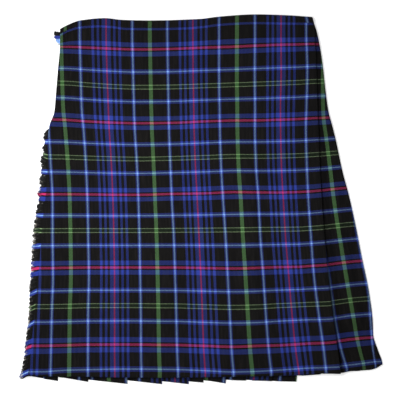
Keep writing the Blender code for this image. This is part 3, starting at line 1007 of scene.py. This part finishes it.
@dataclass
class UnderApron(Panel):
    """The inner front panel, which rolls round the other side to the back.

    It stays an inset short of the fringed edge and ends some way short of the apron's fold.
    """

    name: str = "under_apron_cloth"
    node: str = "under_apron"
    cut: Cut = Cut(0.56, 0.58, 0.28)
    rests_on: tuple[str, ...] = ("pleated_back",)
    columns: int = 60
    rows: int = 80
    roll_sides: int = 10
    top_z: float = 5.4
    inset: float = 2.5
    hem: float = -297.0
    hem_behind: tuple[float, float] = (-305.8, -302.4)
    end: float = 40.0
    weft_at_hem: float = 545.0
    warp_at_seam: float = 28.0
    creases: tuple[Crease, ...] = (
        Crease((-190.0, 120.0), (-214.0, -330.0), 26.0, 0.8),
        Crease((-70.0, 240.0), (-52.0, -180.0), 32.0, 0.6),
        Crease((60.0, 90.0), (86.0, -330.0), 24.0, 0.8),
        Crease((120.0, -30.0), (146.0, -330.0), 20.0, 0.7),
    )

    def grid(self) -> tuple[np.ndarray, np.ndarray]:
        """Lays the panel from its seam behind, round the side and across the front.

        Returns:
            The points, and the places of each in the warp and the weft.
        """
        radius = (self.top_z - PLAN.back_z) / 2.0
        middle = (self.top_z + PLAN.back_z) / 2.0
        down = shares(self.rows)
        height = lerp(PLAN.back_edge(PLAN.fringed_edge.at(PLAN.hem)), self.hem, down)
        far = PLAN.fringed_edge.at(height) + self.inset + self.wall / 2.0 + radius
        end = PLAN.apron_fold.at(height) - self.end
        roll_x, roll_z = arc(far, middle, radius, 270.0, 90.0, self.roll_sides)
        seam = PLAN.seam_behind(PLAN.left_seam, height) - PLAN.gap / 2.0
        flat = [lerp(far, end, s) for s in shares(self.columns)[1:]]
        x = np.stack([seam] + roll_x + flat, axis=1)
        level = [np.full_like(seam, self.top_z)] * len(flat)
        z = np.stack([np.full_like(seam, PLAN.back_z)] + roll_z + level, axis=1)
        turn = np.linspace(self.hem_behind[1], self.hem, len(roll_x))
        hem = np.concatenate((self.hem_behind[:1], turn, np.full(len(flat), self.hem)))
        y = lerp(PLAN.back_edge(x), hem, down[:, None])
        x[:, 0] = PLAN.seam_behind(PLAN.left_seam, y[:, 0]) - PLAN.gap / 2.0
        warp = self.warp_at_seam + run_along(x, z)
        weft = self.weft_at_hem - (y - self.hem)
        z[:, -len(flat):] += self.rise(x, y)[:, -len(flat):]
        return np.stack((x, y, z), axis=-1), np.stack((warp, weft), axis=-1)


@dataclass(frozen=True)
class Pleat:
    """A knife pleat at the hem.

    It has its inner fold's place, how low its cloth hangs at the fold before it and at its own,
    and the place in the warp that its fold lies on.
    """

    fold: float
    start: float
    end: float
    warp: float


@dataclass
class PleatedBack(Panel):
    """The back: one wall in knife pleats whose outer faces lie on the surface.

    A pleat is as deep as the room to the fold before it lets it be. Its hidden face climbs two
    layers just before its outer fold and runs a little past it.
    """

    name: str = "pleated_back_cloth"
    node: str = "pleated_back"
    cut: Cut = Cut(1.4, 0.6, 0.75)
    rests_on: tuple[str, ...] = ()
    rows: int = 60
    fold_sides: int = 8
    face_columns: int = 3
    layer: float = 1.6
    depth: float = 42.0
    room: float = 10.0
    climb: float = 6.8
    overlap: float = 0.2
    weft_at_hem: float = 547.0
    last_hem: tuple[float, float] = (-295.0, -292.0)
    pleats: tuple[Pleat, ...] = (
        Pleat(-244.5, -302.0, -309.5, 70.0),
        Pleat(-193.0, -302.5, -311.0, 266.9),
        Pleat(-126.0, -307.5, -314.6, 401.1),
        Pleat(-67.0, -308.5, -315.0, 585.7),
        Pleat(-21.5, -310.0, -315.0, 762.7),
        Pleat(3.5, -310.5, -312.3, 810.7),
        Pleat(41.5, -308.0, -313.8, 994.9),
        Pleat(76.0, -308.0, -309.0, 1106.0),
        Pleat(120.0, -308.0, -310.0, 1214.0),
        Pleat(162.0, -310.0, -310.8, 1404.0),
        Pleat(203.5, -301.5, -298.5, 1552.0),
    )

    @property
    def per_pleat(self) -> int:
        """The grid's columns in one pleat: two faces and two folds."""
        return 2 * (self.face_columns + self.fold_sides + 1)

    @property
    def fell_rows(self) -> slice:
        """The rows of the grid between the waist and the hip, where the pleats are sewn."""
        top = float(PLAN.back_seam(0.0))
        return slice(0, int(self.rows * (top - PLAN.hip) / (top - PLAN.hem)))

    def outer_columns(self) -> list[int]:
        """The columns of the grid that run just inside each pleat's outer edge."""
        return [self.per_pleat * (k + 1) for k in range(len(self.pleats))]

    def folds(self, height: float) -> list[float]:
        """Finds the inner folds: even above the hip, and spread below it to the hem.

        Args:
            height: the height.

        Returns:
            The folds' places across.
        """
        left, right = PLAN.fringed_edge.at(height), PLAN.side.at(height)
        free = max((PLAN.hip - height) / (PLAN.hip - PLAN.hem), 0.0)
        step = (right - left) / (len(self.pleats) + 1)
        return [
            lerp(left + step * (k + 1), pleat.fold, free) for k, pleat in enumerate(self.pleats)
        ]

    def hang(self, k: int, across: float, folds: list[float]) -> float:
        """Finds how low a stretch of the cloth hangs.

        Args:
            k: the number of the inner fold that the stretch ends in.
            across: the place across at the hem.
            folds: the inner folds at the hem.

        Returns:
            The height of the hem there.
        """
        if k == len(self.pleats):
            before, after = folds[-1], PLAN.side.at(PLAN.hem)
            start, end = self.last_hem
        else:
            before = folds[k - 1] if k else PLAN.fringed_edge.at(PLAN.hem)
            after, start, end = folds[k], self.pleats[k].start, self.pleats[k].end
        return lerp(start, end, (across - before) / (after - before))

    def section(self, height: float) -> list[tuple[float, float, float]]:
        """Folds the cloth in a section across the back.

        Args:
            height: the section's height on the plan.

        Returns:
            For each point its place across, its height above the surface and its hem.
        """
        folds, hem_folds = self.folds(height), self.folds(PLAN.hem)
        radius = self.layer / 2.0
        wall = PLAN.cloth / 2.0 + radius
        before, hem_before = PLAN.seam_behind(PLAN.left_seam, height), PLAN.left_seam[1]
        low, high = PLAN.back_z, PLAN.back_z + 2.0 * self.layer
        section = [(before + PLAN.gap / 2.0, low, self.hang(0, hem_before, hem_folds))]
        for k, fold in enumerate(folds):
            outer = fold - min(self.depth, fold - before - self.room)
            hem_outer = hem_folds[k] - min(self.depth, hem_folds[k] - hem_before - self.room)
            at_outer = self.hang(k, hem_outer, hem_folds)
            foot = outer - self.climb
            last_x, _, last_hem = section[-1]
            for s in shares(self.face_columns)[1:]:
                section.append((lerp(last_x, foot, s), low, lerp(last_hem, at_outer, s)))
            for s in shares(self.face_columns)[1:]:
                across = lerp(foot, outer + self.overlap, s)
                section.append((across, lerp(low, high, s), at_outer))
            inner_fold = (fold - wall, high - radius, -90.0, self.hang(k, hem_folds[k], hem_folds))
            outer_fold = (outer + wall, low + radius, 270.0, self.hang(k + 1, hem_outer, hem_folds))
            for x, z, turn, hem in (inner_fold, outer_fold):
                for a in np.radians(lerp(90.0, turn, shares(self.fold_sides))):
                    section.append((x + radius * math.cos(a), z + radius * math.sin(a), hem))
            before, hem_before = fold, hem_folds[k]
        end = PLAN.seam_behind(PLAN.right_seam, height) - PLAN.gap / 2.0
        section.append((end, low, self.hang(len(self.pleats), PLAN.right_seam[1], hem_folds)))
        return section

    def grid(self) -> tuple[np.ndarray, np.ndarray]:
        """Folds the back, section by section from the waist to the hem.

        Returns:
            The points, and the places of each in the warp and the weft.
        """
        rows, hems = [], []
        for share in shares(self.rows):
            section = self.section(lerp(PLAN.back_seam(0.0), PLAN.hem, share))
            row = [[x, lerp(PLAN.back_edge(x), hem, share), z] for x, z, hem in section]
            row[0][0] = PLAN.seam_behind(PLAN.left_seam, row[0][1]) + PLAN.gap / 2.0
            row[-1][0] = PLAN.seam_behind(PLAN.right_seam, row[-1][1]) - PLAN.gap / 2.0
            rows.append(row)
            hems.append([hem for _, _, hem in section])
        points = np.array(rows)
        run = run_along(points[..., 0], points[..., 2])
        warp = np.array([self.stripes_on(row) for row in run])
        weft = self.weft_at_hem - (points[..., 1] - np.array(hems))
        return points, np.stack((warp, weft), axis=-1)

    def stripes_on(self, run: np.ndarray) -> np.ndarray:
        """Finds the places in the warp along one row, with each fold on its own stripe.

        Args:
            run: how far along the cloth each point of the row lies.

        Returns:
            The places, which run true on the faces and take up the difference between folds.
        """
        first = 1 + 2 * self.face_columns + self.fold_sides // 2
        inner = [run[first + self.per_pleat * k] for k in range(len(self.pleats))]
        shift = first + self.fold_sides + 1
        outer = [run[shift + self.per_pleat * k] for k in range(len(self.pleats))]
        at, warp = [run[0]], [self.pleats[0].warp - (inner[0] - run[0])]
        for k, pleat in enumerate(self.pleats):
            at += [inner[k], outer[k]]
            if k + 1 < len(self.pleats):
                after = self.pleats[k + 1].warp - (inner[k + 1] - outer[k])
            else:
                after = pleat.warp + outer[k] - inner[k]
            warp += [pleat.warp, after]
        at.append(run[-1])
        warp.append(warp[-1] + run[-1] - outer[-1])
        return np.interp(run, at, warp)


@dataclass
class Waistband(Panel):
    """The narrow band round the top, in one length: front, side, back and under apron.

    At the fringed end its stripes slip back against the apron's. Toward the side it spreads to
    meet the outline there, as thick as the solid's wall.
    """

    name: str = "waistband_cloth"
    node: str = "waistband"
    cut: Cut = Cut(1.27, 0.0125)
    rests_on: tuple[str, ...] = ("over_apron",)
    slot: str = "waistband"
    wall: float = 2.1
    rows: int = 8
    sewn_row: int = -2
    columns: int = 130
    back_columns: int = 60
    roll_sides: int = 8
    left_z: float = 8.6
    right_z: float = 10.2
    back_z: float = 1.1
    under_z: float = 5.0
    inset: float = 2.5
    end: float = 40.0
    cad_wall: float = 2.2
    spread_from: float = 150.0
    weft_at_seam: float = -43.0
    slip: float = 9.0
    slip_reach: float = 31.0

    @property
    def behind(self) -> slice:
        """The columns of the grid that are sewn down behind."""
        first = self.columns + self.roll_sides + 1
        return slice(first, first + self.back_columns - 1)

    def grid(self) -> tuple[np.ndarray, np.ndarray]:
        """Lays the band across the front, behind and on under the front.

        Returns:
            The points, and the places of each in the warp and the weft.
        """
        half = self.cad_wall / 2.0
        left = float(PLAN.fringed_edge.at(PLAN.band_top.values[0]))
        right = float(PLAN.side.at(PLAN.band_top.values[-1])) - half
        outer = (self.right_z - self.back_z) / 2.0
        inner = (self.under_z - self.back_z) / 2.0
        turns = shares(self.roll_sides)[1:]
        roll, lift = np.radians(lerp(90.0, -90.0, turns)), np.radians(lerp(270.0, 90.0, turns))
        near, far = right - outer, left + self.inset + half + inner
        front = lerp(left, near, shares(self.columns))
        back = lerp(near, far, shares(self.back_columns)[1:])
        under = lerp(far, right - self.end, shares(self.back_columns)[1:])
        front_share = (front - left) / (right - left)
        front_z = lerp(self.left_z, self.right_z, ease(front_share, CLIMB_FROM, 1.0))
        x = np.concatenate(
            (front, near + outer * np.cos(roll), back, far + inner * np.cos(lift), under)
        )
        z = np.concatenate((
            front_z, self.back_z + outer + outer * np.sin(roll), np.full_like(back, self.back_z),
            self.back_z + inner + inner * np.sin(lift), np.full_like(under, self.under_z),
        ))
        rest = np.ones(len(x) - len(front) - len(turns))
        behind = np.concatenate((np.zeros_like(front), turns, rest))
        top = lerp(PLAN.band_top.at(x), PLAN.back_top(x), behind)
        seam = lerp(PLAN.band_seam.at(x), PLAN.back_seam(x), behind)
        y = lerp(top, seam, shares(self.rows)[:, None])
        wider = PLAN.side.at(y) - half - right
        spread = x + wider * ease(x, self.spread_from, right)
        points = np.stack((spread, y, np.tile(z, (self.rows + 1, 1))), axis=-1)
        on_front = APRON_GRAIN.across(front, PLAN.band_seam.at(front))
        on_front = on_front - self.slip * ease(front - left, self.slip_reach, 0.0)
        on = run_along(x, z)[len(front) - 1:]
        warp = np.concatenate((on_front, on_front[-1] + on[1:] - on[0]))
        weft = self.weft_at_seam - (points[..., 1] - seam)
        return points, np.stack((np.tile(warp, (self.rows + 1, 1)), weft), axis=-1)


class GeometryTree(Tree):
    """A Geometry Nodes tree that repeats a shape over points."""

    SOCKETS = {
        float: "NodeSocketFloat", int: "NodeSocketInt", bpy.types.Material: "NodeSocketMaterial",
    }

    def __init__(self, name: str, inputs: dict[str, float | int | bpy.types.Material]) -> None:
        """Makes the tree with a geometry socket at each end.

        Args:
            name: the tree's name.
            inputs: the values of its other inputs, by name.
        """
        super().__init__(bpy.data.node_groups.new(name, "GeometryNodeTree"))
        face = self.tree.interface
        face.new_socket("Geometry", in_out="INPUT", socket_type="NodeSocketGeometry")
        face.new_socket("Geometry", in_out="OUTPUT", socket_type="NodeSocketGeometry")
        self.values = {}
        for key, value in inputs.items():
            kind = self.SOCKETS[type(value)]
            socket = face.new_socket(key, in_out="INPUT", socket_type=kind)
            self.values[socket.identifier] = value
        self.entry = self.tree.nodes.new("NodeGroupInput")
        self.exit = self.tree.nodes.new("NodeGroupOutput")

    def given(self, name: str) -> Wire:
        """One of the tree's own inputs."""
        return Wire(self, self.entry.outputs[name])

    def carried(self, name: str, kind: str = "FLOAT") -> Wire:
        """A value that the points carry."""
        inputs = {"Name": name}
        return self.node("GeometryNodeInputNamedAttribute", inputs, "Attribute", data_type=kind)

    def store(
        self, geometry: Wire, name: str, value: Wire, kind: str = "FLOAT", domain: str = "POINT"
    ) -> Wire:
        """Lets a geometry carry a value.

        Args:
            geometry: the geometry.
            name: the name that it carries the value by.
            value: the value.
            kind: its data type.
            domain: what each value belongs to.

        Returns:
            The geometry with the value.
        """
        return self.node(
            "GeometryNodeStoreNamedAttribute", {0: geometry, "Name": name, "Value": value},
            data_type=kind, domain=domain,
        )

    def line(self, start: Wire | tuple, end: Wire | tuple) -> Wire:
        """A straight curve with as many points as the tree is given."""
        line = self.node("GeometryNodeCurvePrimitiveLine", {"Start": start, "End": end})
        return self.node("GeometryNodeResampleCurve", {0: line, "Count": self.given("Points")})

    def tube(self, line: Wire, width: Wire, scale: Wire | float = 1.0) -> Wire:
        """Makes a tube along a curve, closed at both ends.

        Args:
            line: the curve.
            width: the tube's width.
            scale: what the width is multiplied by along the curve.

        Returns:
            The tube.
        """
        ring = self.node(
            "GeometryNodeCurvePrimitiveCircle",
            {"Resolution": self.given("Sides"), "Radius": width * 0.5},
        )
        inputs = {0: line, "Profile Curve": ring, "Fill Caps": True, "Scale": scale}
        return self.node("GeometryNodeCurveToMesh", inputs)

    def finish(self, geometry: Wire, base: bpy.types.Object) -> bpy.types.Object:
        """Realizes the instances, sets the material and turns the result into a plain mesh.

        Args:
            geometry: what the tree has made.
            base: the object that the tree works on, which is used up.

        Returns:
            The finished object, under the base's name.
        """
        smooth = self.node("GeometryNodeSetShadeSmooth", {0: geometry})
        real = self.node("GeometryNodeRealizeInstances", {0: smooth})
        inputs = {0: real, "Material": self.given("Material")}
        painted = self.node("GeometryNodeSetMaterial", inputs)
        self.tree.links.new(painted.socket, self.exit.inputs[0])
        modifier = base.modifiers.new("Repeat", "NODES")
        modifier.node_group = self.tree
        for identifier, value in self.values.items():
            modifier[identifier] = value
        bpy.context.view_layer.update()
        evaluated = base.evaluated_get(bpy.context.evaluated_depsgraph_get())
        mesh = bpy.data.meshes.new_from_object(evaluated)
        name, old = base.name, base.data
        bpy.data.objects.remove(base)
        bpy.data.meshes.remove(old)
        mesh.name = name
        return add_object(name, mesh)


@dataclass
class Sewing:
    """Rows of running stitches that lie along a cloth, on it or below it."""

    name: str
    wall: float
    below: bool = False
    step: float = 3.8
    length: float = 2.3
    thread: float = 0.36
    arch: float = 0.22
    sides: int = 6
    stretches: int = 6

    @property
    def offset(self) -> float:
        """How far above the middle of the cloth's wall the stitches lie."""
        half = self.wall / 2.0
        return self.thread / 4.0 - half if self.below else half

    def roots(self, runs: list[np.ndarray]) -> bpy.types.Object:
        """Makes one point for each stitch, which carries its turn.

        Args:
            runs: the rows of points that the stitches follow, in millimetres.

        Returns:
            The object that holds the points.
        """
        places, turns = [], []
        for run in runs:
            paces = np.linalg.norm(np.diff(run, axis=0), axis=1)
            along = np.concatenate(([0.0], np.cumsum(paces)))
            at = np.arange(self.step / 2.0, along[-1], self.step)
            start, end = (
                np.stack([np.interp(at + by, along, values) for values in run.T], axis=1)
                for by in (-self.length / 2.0, self.length / 2.0)
            )
            way = end - start
            flat = np.hypot(way[:, 0], way[:, 1])
            over = np.full_like(flat, math.pi if self.below else 0.0)
            heading = np.arctan2(way[:, 1], way[:, 0])
            places.append((start + end) / 2.0 + (0.0, 0.0, self.offset))
            turns.append(np.stack((over, -np.arctan2(way[:, 2], flat), heading), axis=1))
        return add_points(self.name, np.concatenate(places), turn=np.concatenate(turns))

    def build(self, finish: bpy.types.Material, runs: list[np.ndarray]) -> bpy.types.Object:
        """Sews the stitches along the runs.

        Args:
            finish: the thread's material.
            runs: the rows of points that they follow, in the middle of the cloth's wall.

        Returns:
            The finished object.
        """
        tree = GeometryTree(self.name + "_tree", {
            "Length": self.length * MM,
            "Thread": self.thread * MM,
            "Arch": self.arch * MM,
            "Points": self.stretches + 1,
            "Sides": self.sides,
            "Material": finish,
        })
        half = tree.given("Length") * 0.5
        line = tree.line(tree.join(-half), tree.join(half))
        swing = tree.node("GeometryNodeSplineParameter") * 2.0 - 1.0
        dip = swing * swing * tree.given("Arch")
        inputs = {0: line, "Offset": tree.join(0.0, 0.0, -dip)}
        arched = tree.node("GeometryNodeSetPosition", inputs)
        stitch = tree.tube(arched, tree.given("Thread"))
        turn = tree.node("FunctionNodeEulerToRotation", {0: tree.carried("turn", "FLOAT_VECTOR")})
        inputs = {0: tree.given("Geometry"), "Instance": stitch, "Rotation": turn}
        placed = tree.node("GeometryNodeInstanceOnPoints", inputs)
        roots = self.roots(runs)
        LOG.info("%s: %d stitches", self.name, len(roots.data.vertices))
        made = tree.finish(placed, roots)
        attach(made, BODY)
        return made


@dataclass
class Fringe:
    """A fringe of loose weft strands that leave the apron's edge.

    The strands gather in locks of a length drawn between two limits, whose middle strands reach
    furthest. Each field in chance is how far a strand may differ from its neighbours.
    """

    name: str
    node: str
    top: float
    end: float
    strands: int
    seed: int
    width: float = 1.15
    taper: float = 0.3
    root_z: float = 7.9
    tuck: float = 0.8
    drop: float = 3.6
    drop_chance: float = 0.3
    bend: float = 1.2
    stretches: int = 5
    sides: int = 4
    locks: tuple[float, float] = (5.0, 12.0)
    lock_pull: float = 0.14
    lock_spread: float = 0.06
    lock_middle: float = 1.07
    lock_point: float = 0.19
    reach_mean: float = 0.95
    reach_chance: float = 0.12
    lean_chance: float = 0.14
    crimp: float = 0.5
    crimp_turn: float = 9.0
    crimp_chance: float = 6.0
    cream_reach: float = 0.55
    cream_share: Curve = Curve(
        (285.0, 0.0), (274.0, 0.0), (268.0, 0.5), (262.0, 0.6), (200.0, 0.01), (120.0, 0.01),
        (-20.0, 0.03), (-48.0, 0.2), (-80.0, 0.24), (-105.0, 0.08), (-160.0, 0.08),
        (-180.0, 0.22), (-212.0, 0.22), (-235.0, 0.04), (-262.0, 0.18), (-284.0, 0.2),
        (-294.0, 0.4), (-301.0, 0.2),
    )
    tips: Curve = Curve(
        (283.5, -250.5), (275.0, -250.0), (271.0, -247.5), (266.0, -244.0), (262.0, -241.5),
        (120.5, -261.5), (117.0, -264.5), (107.0, -269.5), (96.0, -266.8), (86.0, -272.0),
        (79.0, -268.8), (59.0, -273.6), (46.0, -272.0), (31.0, -276.4), (25.0, -274.4),
        (7.0, -279.0), (-1.0, -277.6), (-29.0, -282.6), (-56.0, -286.5), (-120.0, -290.8),
        (-180.0, -293.5), (-222.0, -297.5), (-262.0, -302.5), (-285.0, -307.0),
        (-294.0, -310.0), (-301.0, -309.0),
    )
    leans: Curve = Curve(
        (283.5, 12.0), (275.0, 0.0), (266.0, -30.0), (119.0, -8.0), (96.0, 0.0), (80.0, 12.0),
        (66.0, 24.0), (50.0, 8.0), (30.0, 0.0), (-27.0, 2.0), (-53.0, 4.0), (-80.0, -8.0),
        (-118.0, -10.0), (-157.0, -26.0), (-183.0, -24.0), (-209.0, -32.0), (-230.0, -30.0),
        (-252.0, -26.0), (-301.0, -25.0),
    )
    dye: Curve | None = None

    def roots(self) -> bpy.types.Object:
        """Makes the strands' roots, which carry each strand's reach, lean and row.

        Returns:
            The object that holds the roots' points.
        """
        random = np.random.default_rng(self.seed)
        share = (np.arange(self.strands) + 0.5) / self.strands
        y = lerp(self.top, self.end, share)
        x = PLAN.fringed_edge.at(y) + self.tuck
        count = int(abs(self.top - self.end) / self.locks[0]) + 1
        ends = self.top - np.cumsum(random.uniform(*self.locks, count))
        lock = np.searchsorted(-ends, -y)
        starts = np.concatenate(([self.top], ends))
        middle = (starts[lock] + ends[lock]) / 2.0
        aside = (y - middle) / (starts[lock] - ends[lock]) * 2.0
        longer = random.uniform(1.0 - self.lock_spread, 1.0 + self.lock_spread, count)
        longer = longer[lock] * (self.lock_middle - self.lock_point * aside * aside)
        cream = random.uniform(0.0, 1.0, self.strands) < self.cream_share.at(y)
        return add_points(
            self.name, np.stack((x, y, np.full_like(x, self.root_z)), axis=1),
            reach=(x - self.tips.at(y)) * longer * MM,
            lean=np.tan(np.radians(self.leans.at(y))),
            gather=(middle - y) * self.lock_pull * MM,
            row=(self.dye.at(y) if self.dye else APRON_GRAIN.down(x, y)) * MM,
            cream=cream * self.cream_reach + 1.0,
        )

    def build(self, finish: bpy.types.Material) -> bpy.types.Object:
        """Grows the strands and puts them in their node's place.

        Args:
            finish: the strands' material.

        Returns:
            The finished object.
        """
        tree = GeometryTree(self.name + "_tree", {
            "Width": self.width * MM,
            "Drop": self.drop * MM,
            "Bend": self.bend,
            "Points": self.stretches + 1,
            "Sides": self.sides,
            "Seed": self.seed,
            "Material": finish,
        })
        made = tree.finish(self._grow(tree), self.roots())
        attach(made, BODY)
        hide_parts(self.node)
        LOG.info("%s: %d strands", self.name, self.strands)
        return made

    def _grow(self, tree: GeometryTree) -> Wire:
        """Puts a strand on each root and bends each in its own way.

        Args:
            tree: the tree that the nodes go into.

        Returns:
            The strands, each dyed by its row and paled toward its tip.
        """
        limits = {0: (-1.0, -1.0, -1.0), 1: (1.0, 1.0, 1.0), "Seed": tree.given("Seed")}
        chance = tree.node("FunctionNodeRandomValue", limits, data_type="FLOAT_VECTOR")
        rooted = tree.store(tree.given("Geometry"), "chance", chance, "FLOAT_VECTOR")
        line = tree.line((0.0, 0.0, 0.0), (-1.0, 0.0, 0.0))
        part = tree.node("GeometryNodeSplineParameter")
        line = tree.store(line, "along", part)
        strand = tree.tube(line, tree.given("Width"), 1.0 - part * self.taper)
        first, second, third = tree.split(tree.carried("chance", "FLOAT_VECTOR"))
        reach = tree.carried("reach") * (first * self.reach_chance + self.reach_mean)
        inputs = {0: rooted, "Instance": strand, "Scale": tree.join(reach, 1.0, 1.0)}
        placed = tree.node("GeometryNodeInstanceOnPoints", inputs)
        real = tree.node("GeometryNodeRealizeInstances", {0: placed})
        along = tree.carried("along")
        curved = along.math("POWER", tree.given("Bend"))
        lean = tree.carried("lean") + second * self.lean_chance
        aside = (reach * lean + tree.carried("gather")) * curved
        wave = (along * self.crimp_turn + third * self.crimp_chance).math("SINE")
        fall = (third * self.drop_chance + 1.0) * tree.given("Drop") * curved
        move = tree.join(0.0, aside + wave * along * (self.crimp * MM), -fall)
        bent = tree.node("GeometryNodeSetPosition", {0: real, "Offset": move})
        pair = tree.join(along * tree.carried("cream"), tree.carried("row"))
        return tree.store(bent, WEAVE_MAP, pair, "FLOAT2", "CORNER")


@dataclass(frozen=True)
class SoftBox:
    """A soft light aimed at the kilt: its place and side in metres, power and spread."""

    name: str
    place: tuple[float, float, float]
    size: float
    watts: float
    spread: float

    def build(self) -> None:
        """Hangs the light."""
        data = bpy.data.lights.new(self.name, "AREA")
        data.spread = math.radians(self.spread)
        data.size = self.size
        data.energy = self.watts
        lamp = add_object(self.name, data)
        lamp.location = self.place
        x, y, z = self.place
        lamp.rotation_euler = (0.0, math.atan2(math.hypot(x, y), z), math.atan2(y, x))


@dataclass
class Studio:
    """The pale surface, the soft light and the camera straight above."""

    lens: float = 100.0
    sensor: float = 36.0
    view_width: float = 680.0
    aim: tuple[float, float] = (-2.55, -1.2)
    subject_z: float = 9.0
    surface_half: float = 6000.0
    surface_z: float = -0.2
    surface_grey: float = 0.975
    surface_white: float = 0.985
    surface_patch: float = 400.0
    surface_glow: float = 0.55
    world_light: float = 0.22
    lights: tuple[SoftBox, ...] = (
        SoftBox("key", (-0.22, 0.0, 0.7), 0.36, 2.5, 125.0),
        SoftBox("side", (-2.2, 0.5, 0.95), 0.6, 37.0, 180.0),
    )

    def build(self) -> None:
        """Makes the surface, the lights and the camera."""
        self._surface()
        for light in self.lights:
            light.build()
        world = bpy.data.worlds.new("studio")
        world.use_nodes = True
        backdrop = world.node_tree.nodes["Background"]
        backdrop.inputs["Strength"].default_value = self.world_light
        backdrop.inputs["Color"].default_value = (1.0, 1.0, 1.0, 1.0)
        bpy.context.scene.world = world
        bpy.context.scene.view_settings.view_transform = "Standard"
        data = bpy.data.cameras.new("camera")
        data.lens = self.lens
        data.sensor_width = self.sensor
        camera = add_object("camera", data)
        rise = self.subject_z + self.view_width * self.lens / self.sensor
        camera.location = (self.aim[0] * MM, self.aim[1] * MM, rise * MM)
        bpy.context.scene.camera = camera

    def _surface(self) -> None:
        """Makes the plain surface that the kilt lies on."""
        half, z = self.surface_half * MM, self.surface_z * MM
        mesh = bpy.data.meshes.new("surface")
        corners = [(-half, -half, z), (half, -half, z), (half, half, z), (-half, half, z)]
        mesh.from_pydata(corners, [], [(0, 1, 2, 3)])
        shader = Shader(
            "surface_finish", Roughness=0.9, Specular_IOR_Level=0.1,
            Emission_Strength=self.surface_glow,
        )
        shader.surface.inputs["Emission Color"].default_value = (1.0, 1.0, 1.0, 1.0)
        grain = shader.noise(shader.place(), self.surface_patch)
        grey, white = (
            (tone, tone, tone, 1.0) for tone in (self.surface_grey, self.surface_white)
        )
        shader.finish(shader.mix(grain, grey, white))
        mesh.materials.append(shader.material)
        add_object("surface", mesh)


def sew(
    thread: bpy.types.Material, apron: OverApron, back: PleatedBack, band: Waistband
) -> None:
    """Sews the rows of stitches that show on the pieces.

    Args:
        thread: the thread's material.
        apron: the over apron, sewn to the strip of its fringe.
        back: the pleats, sewn down from waist to hip.
        band: the waistband, sewn along its seam in front and behind.
    """
    cloth, _ = apron.grid()
    Sewing("fringe_stitches", apron.wall).build(thread, [cloth[:, apron.sewn_column]])
    strip, _ = band.grid()
    seam = strip[band.sewn_row]
    Sewing("waistband_stitches", band.wall).build(thread, [seam[:band.columns]])
    Sewing("waistband_back_stitches", band.wall, below=True).build(thread, [seam[band.behind]])
    pleats, _ = back.grid()
    fells = [pleats[back.fell_rows, column] for column in back.outer_columns()]
    Sewing("fell_stitches", back.wall, below=True, step=5.0).build(thread, fells)


def main() -> None:
    """Builds the pieces in order, then the studio."""
    logging.basicConfig(level=logging.INFO, format="%(name)s %(message)s")
    tartan = TartanFinish().material()
    wool = FringeFinish().material()
    fringe = Fringe(
        "apron_fringe_strands", "apron_fringe", top=120.5, end=-300.8, strands=3000, seed=5
    ).build(wool)
    tuft_dye = Curve(
        (284.0, 20.0), (279.0, 30.0), (277.0, 34.5), (273.5, 36.0), (271.0, 37.0), (262.0, 37.4)
    )
    tuft = Fringe(
        "fringe_tuft_strands", "fringe_tuft", top=284.0, end=263.0, strands=150, seed=9,
        locks=(4.0, 6.0), cream_reach=1.3, dye=tuft_dye,
    ).build(wool)
    apron, back, band = OverApron(), PleatedBack(), Waistband()
    apron.build(tartan, (fringe, tuft))
    SidePleat().build(tartan)
    UnderApron().build(tartan)
    back.build(tartan)
    band.build(tartan)
    sew(ThreadFinish().material(), apron, back, band)
    Studio().build()
    for name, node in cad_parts.items():
        LOG.info("node %s shown: %s", name, not node.hide_render)


if __name__ == "__main__":
    main()
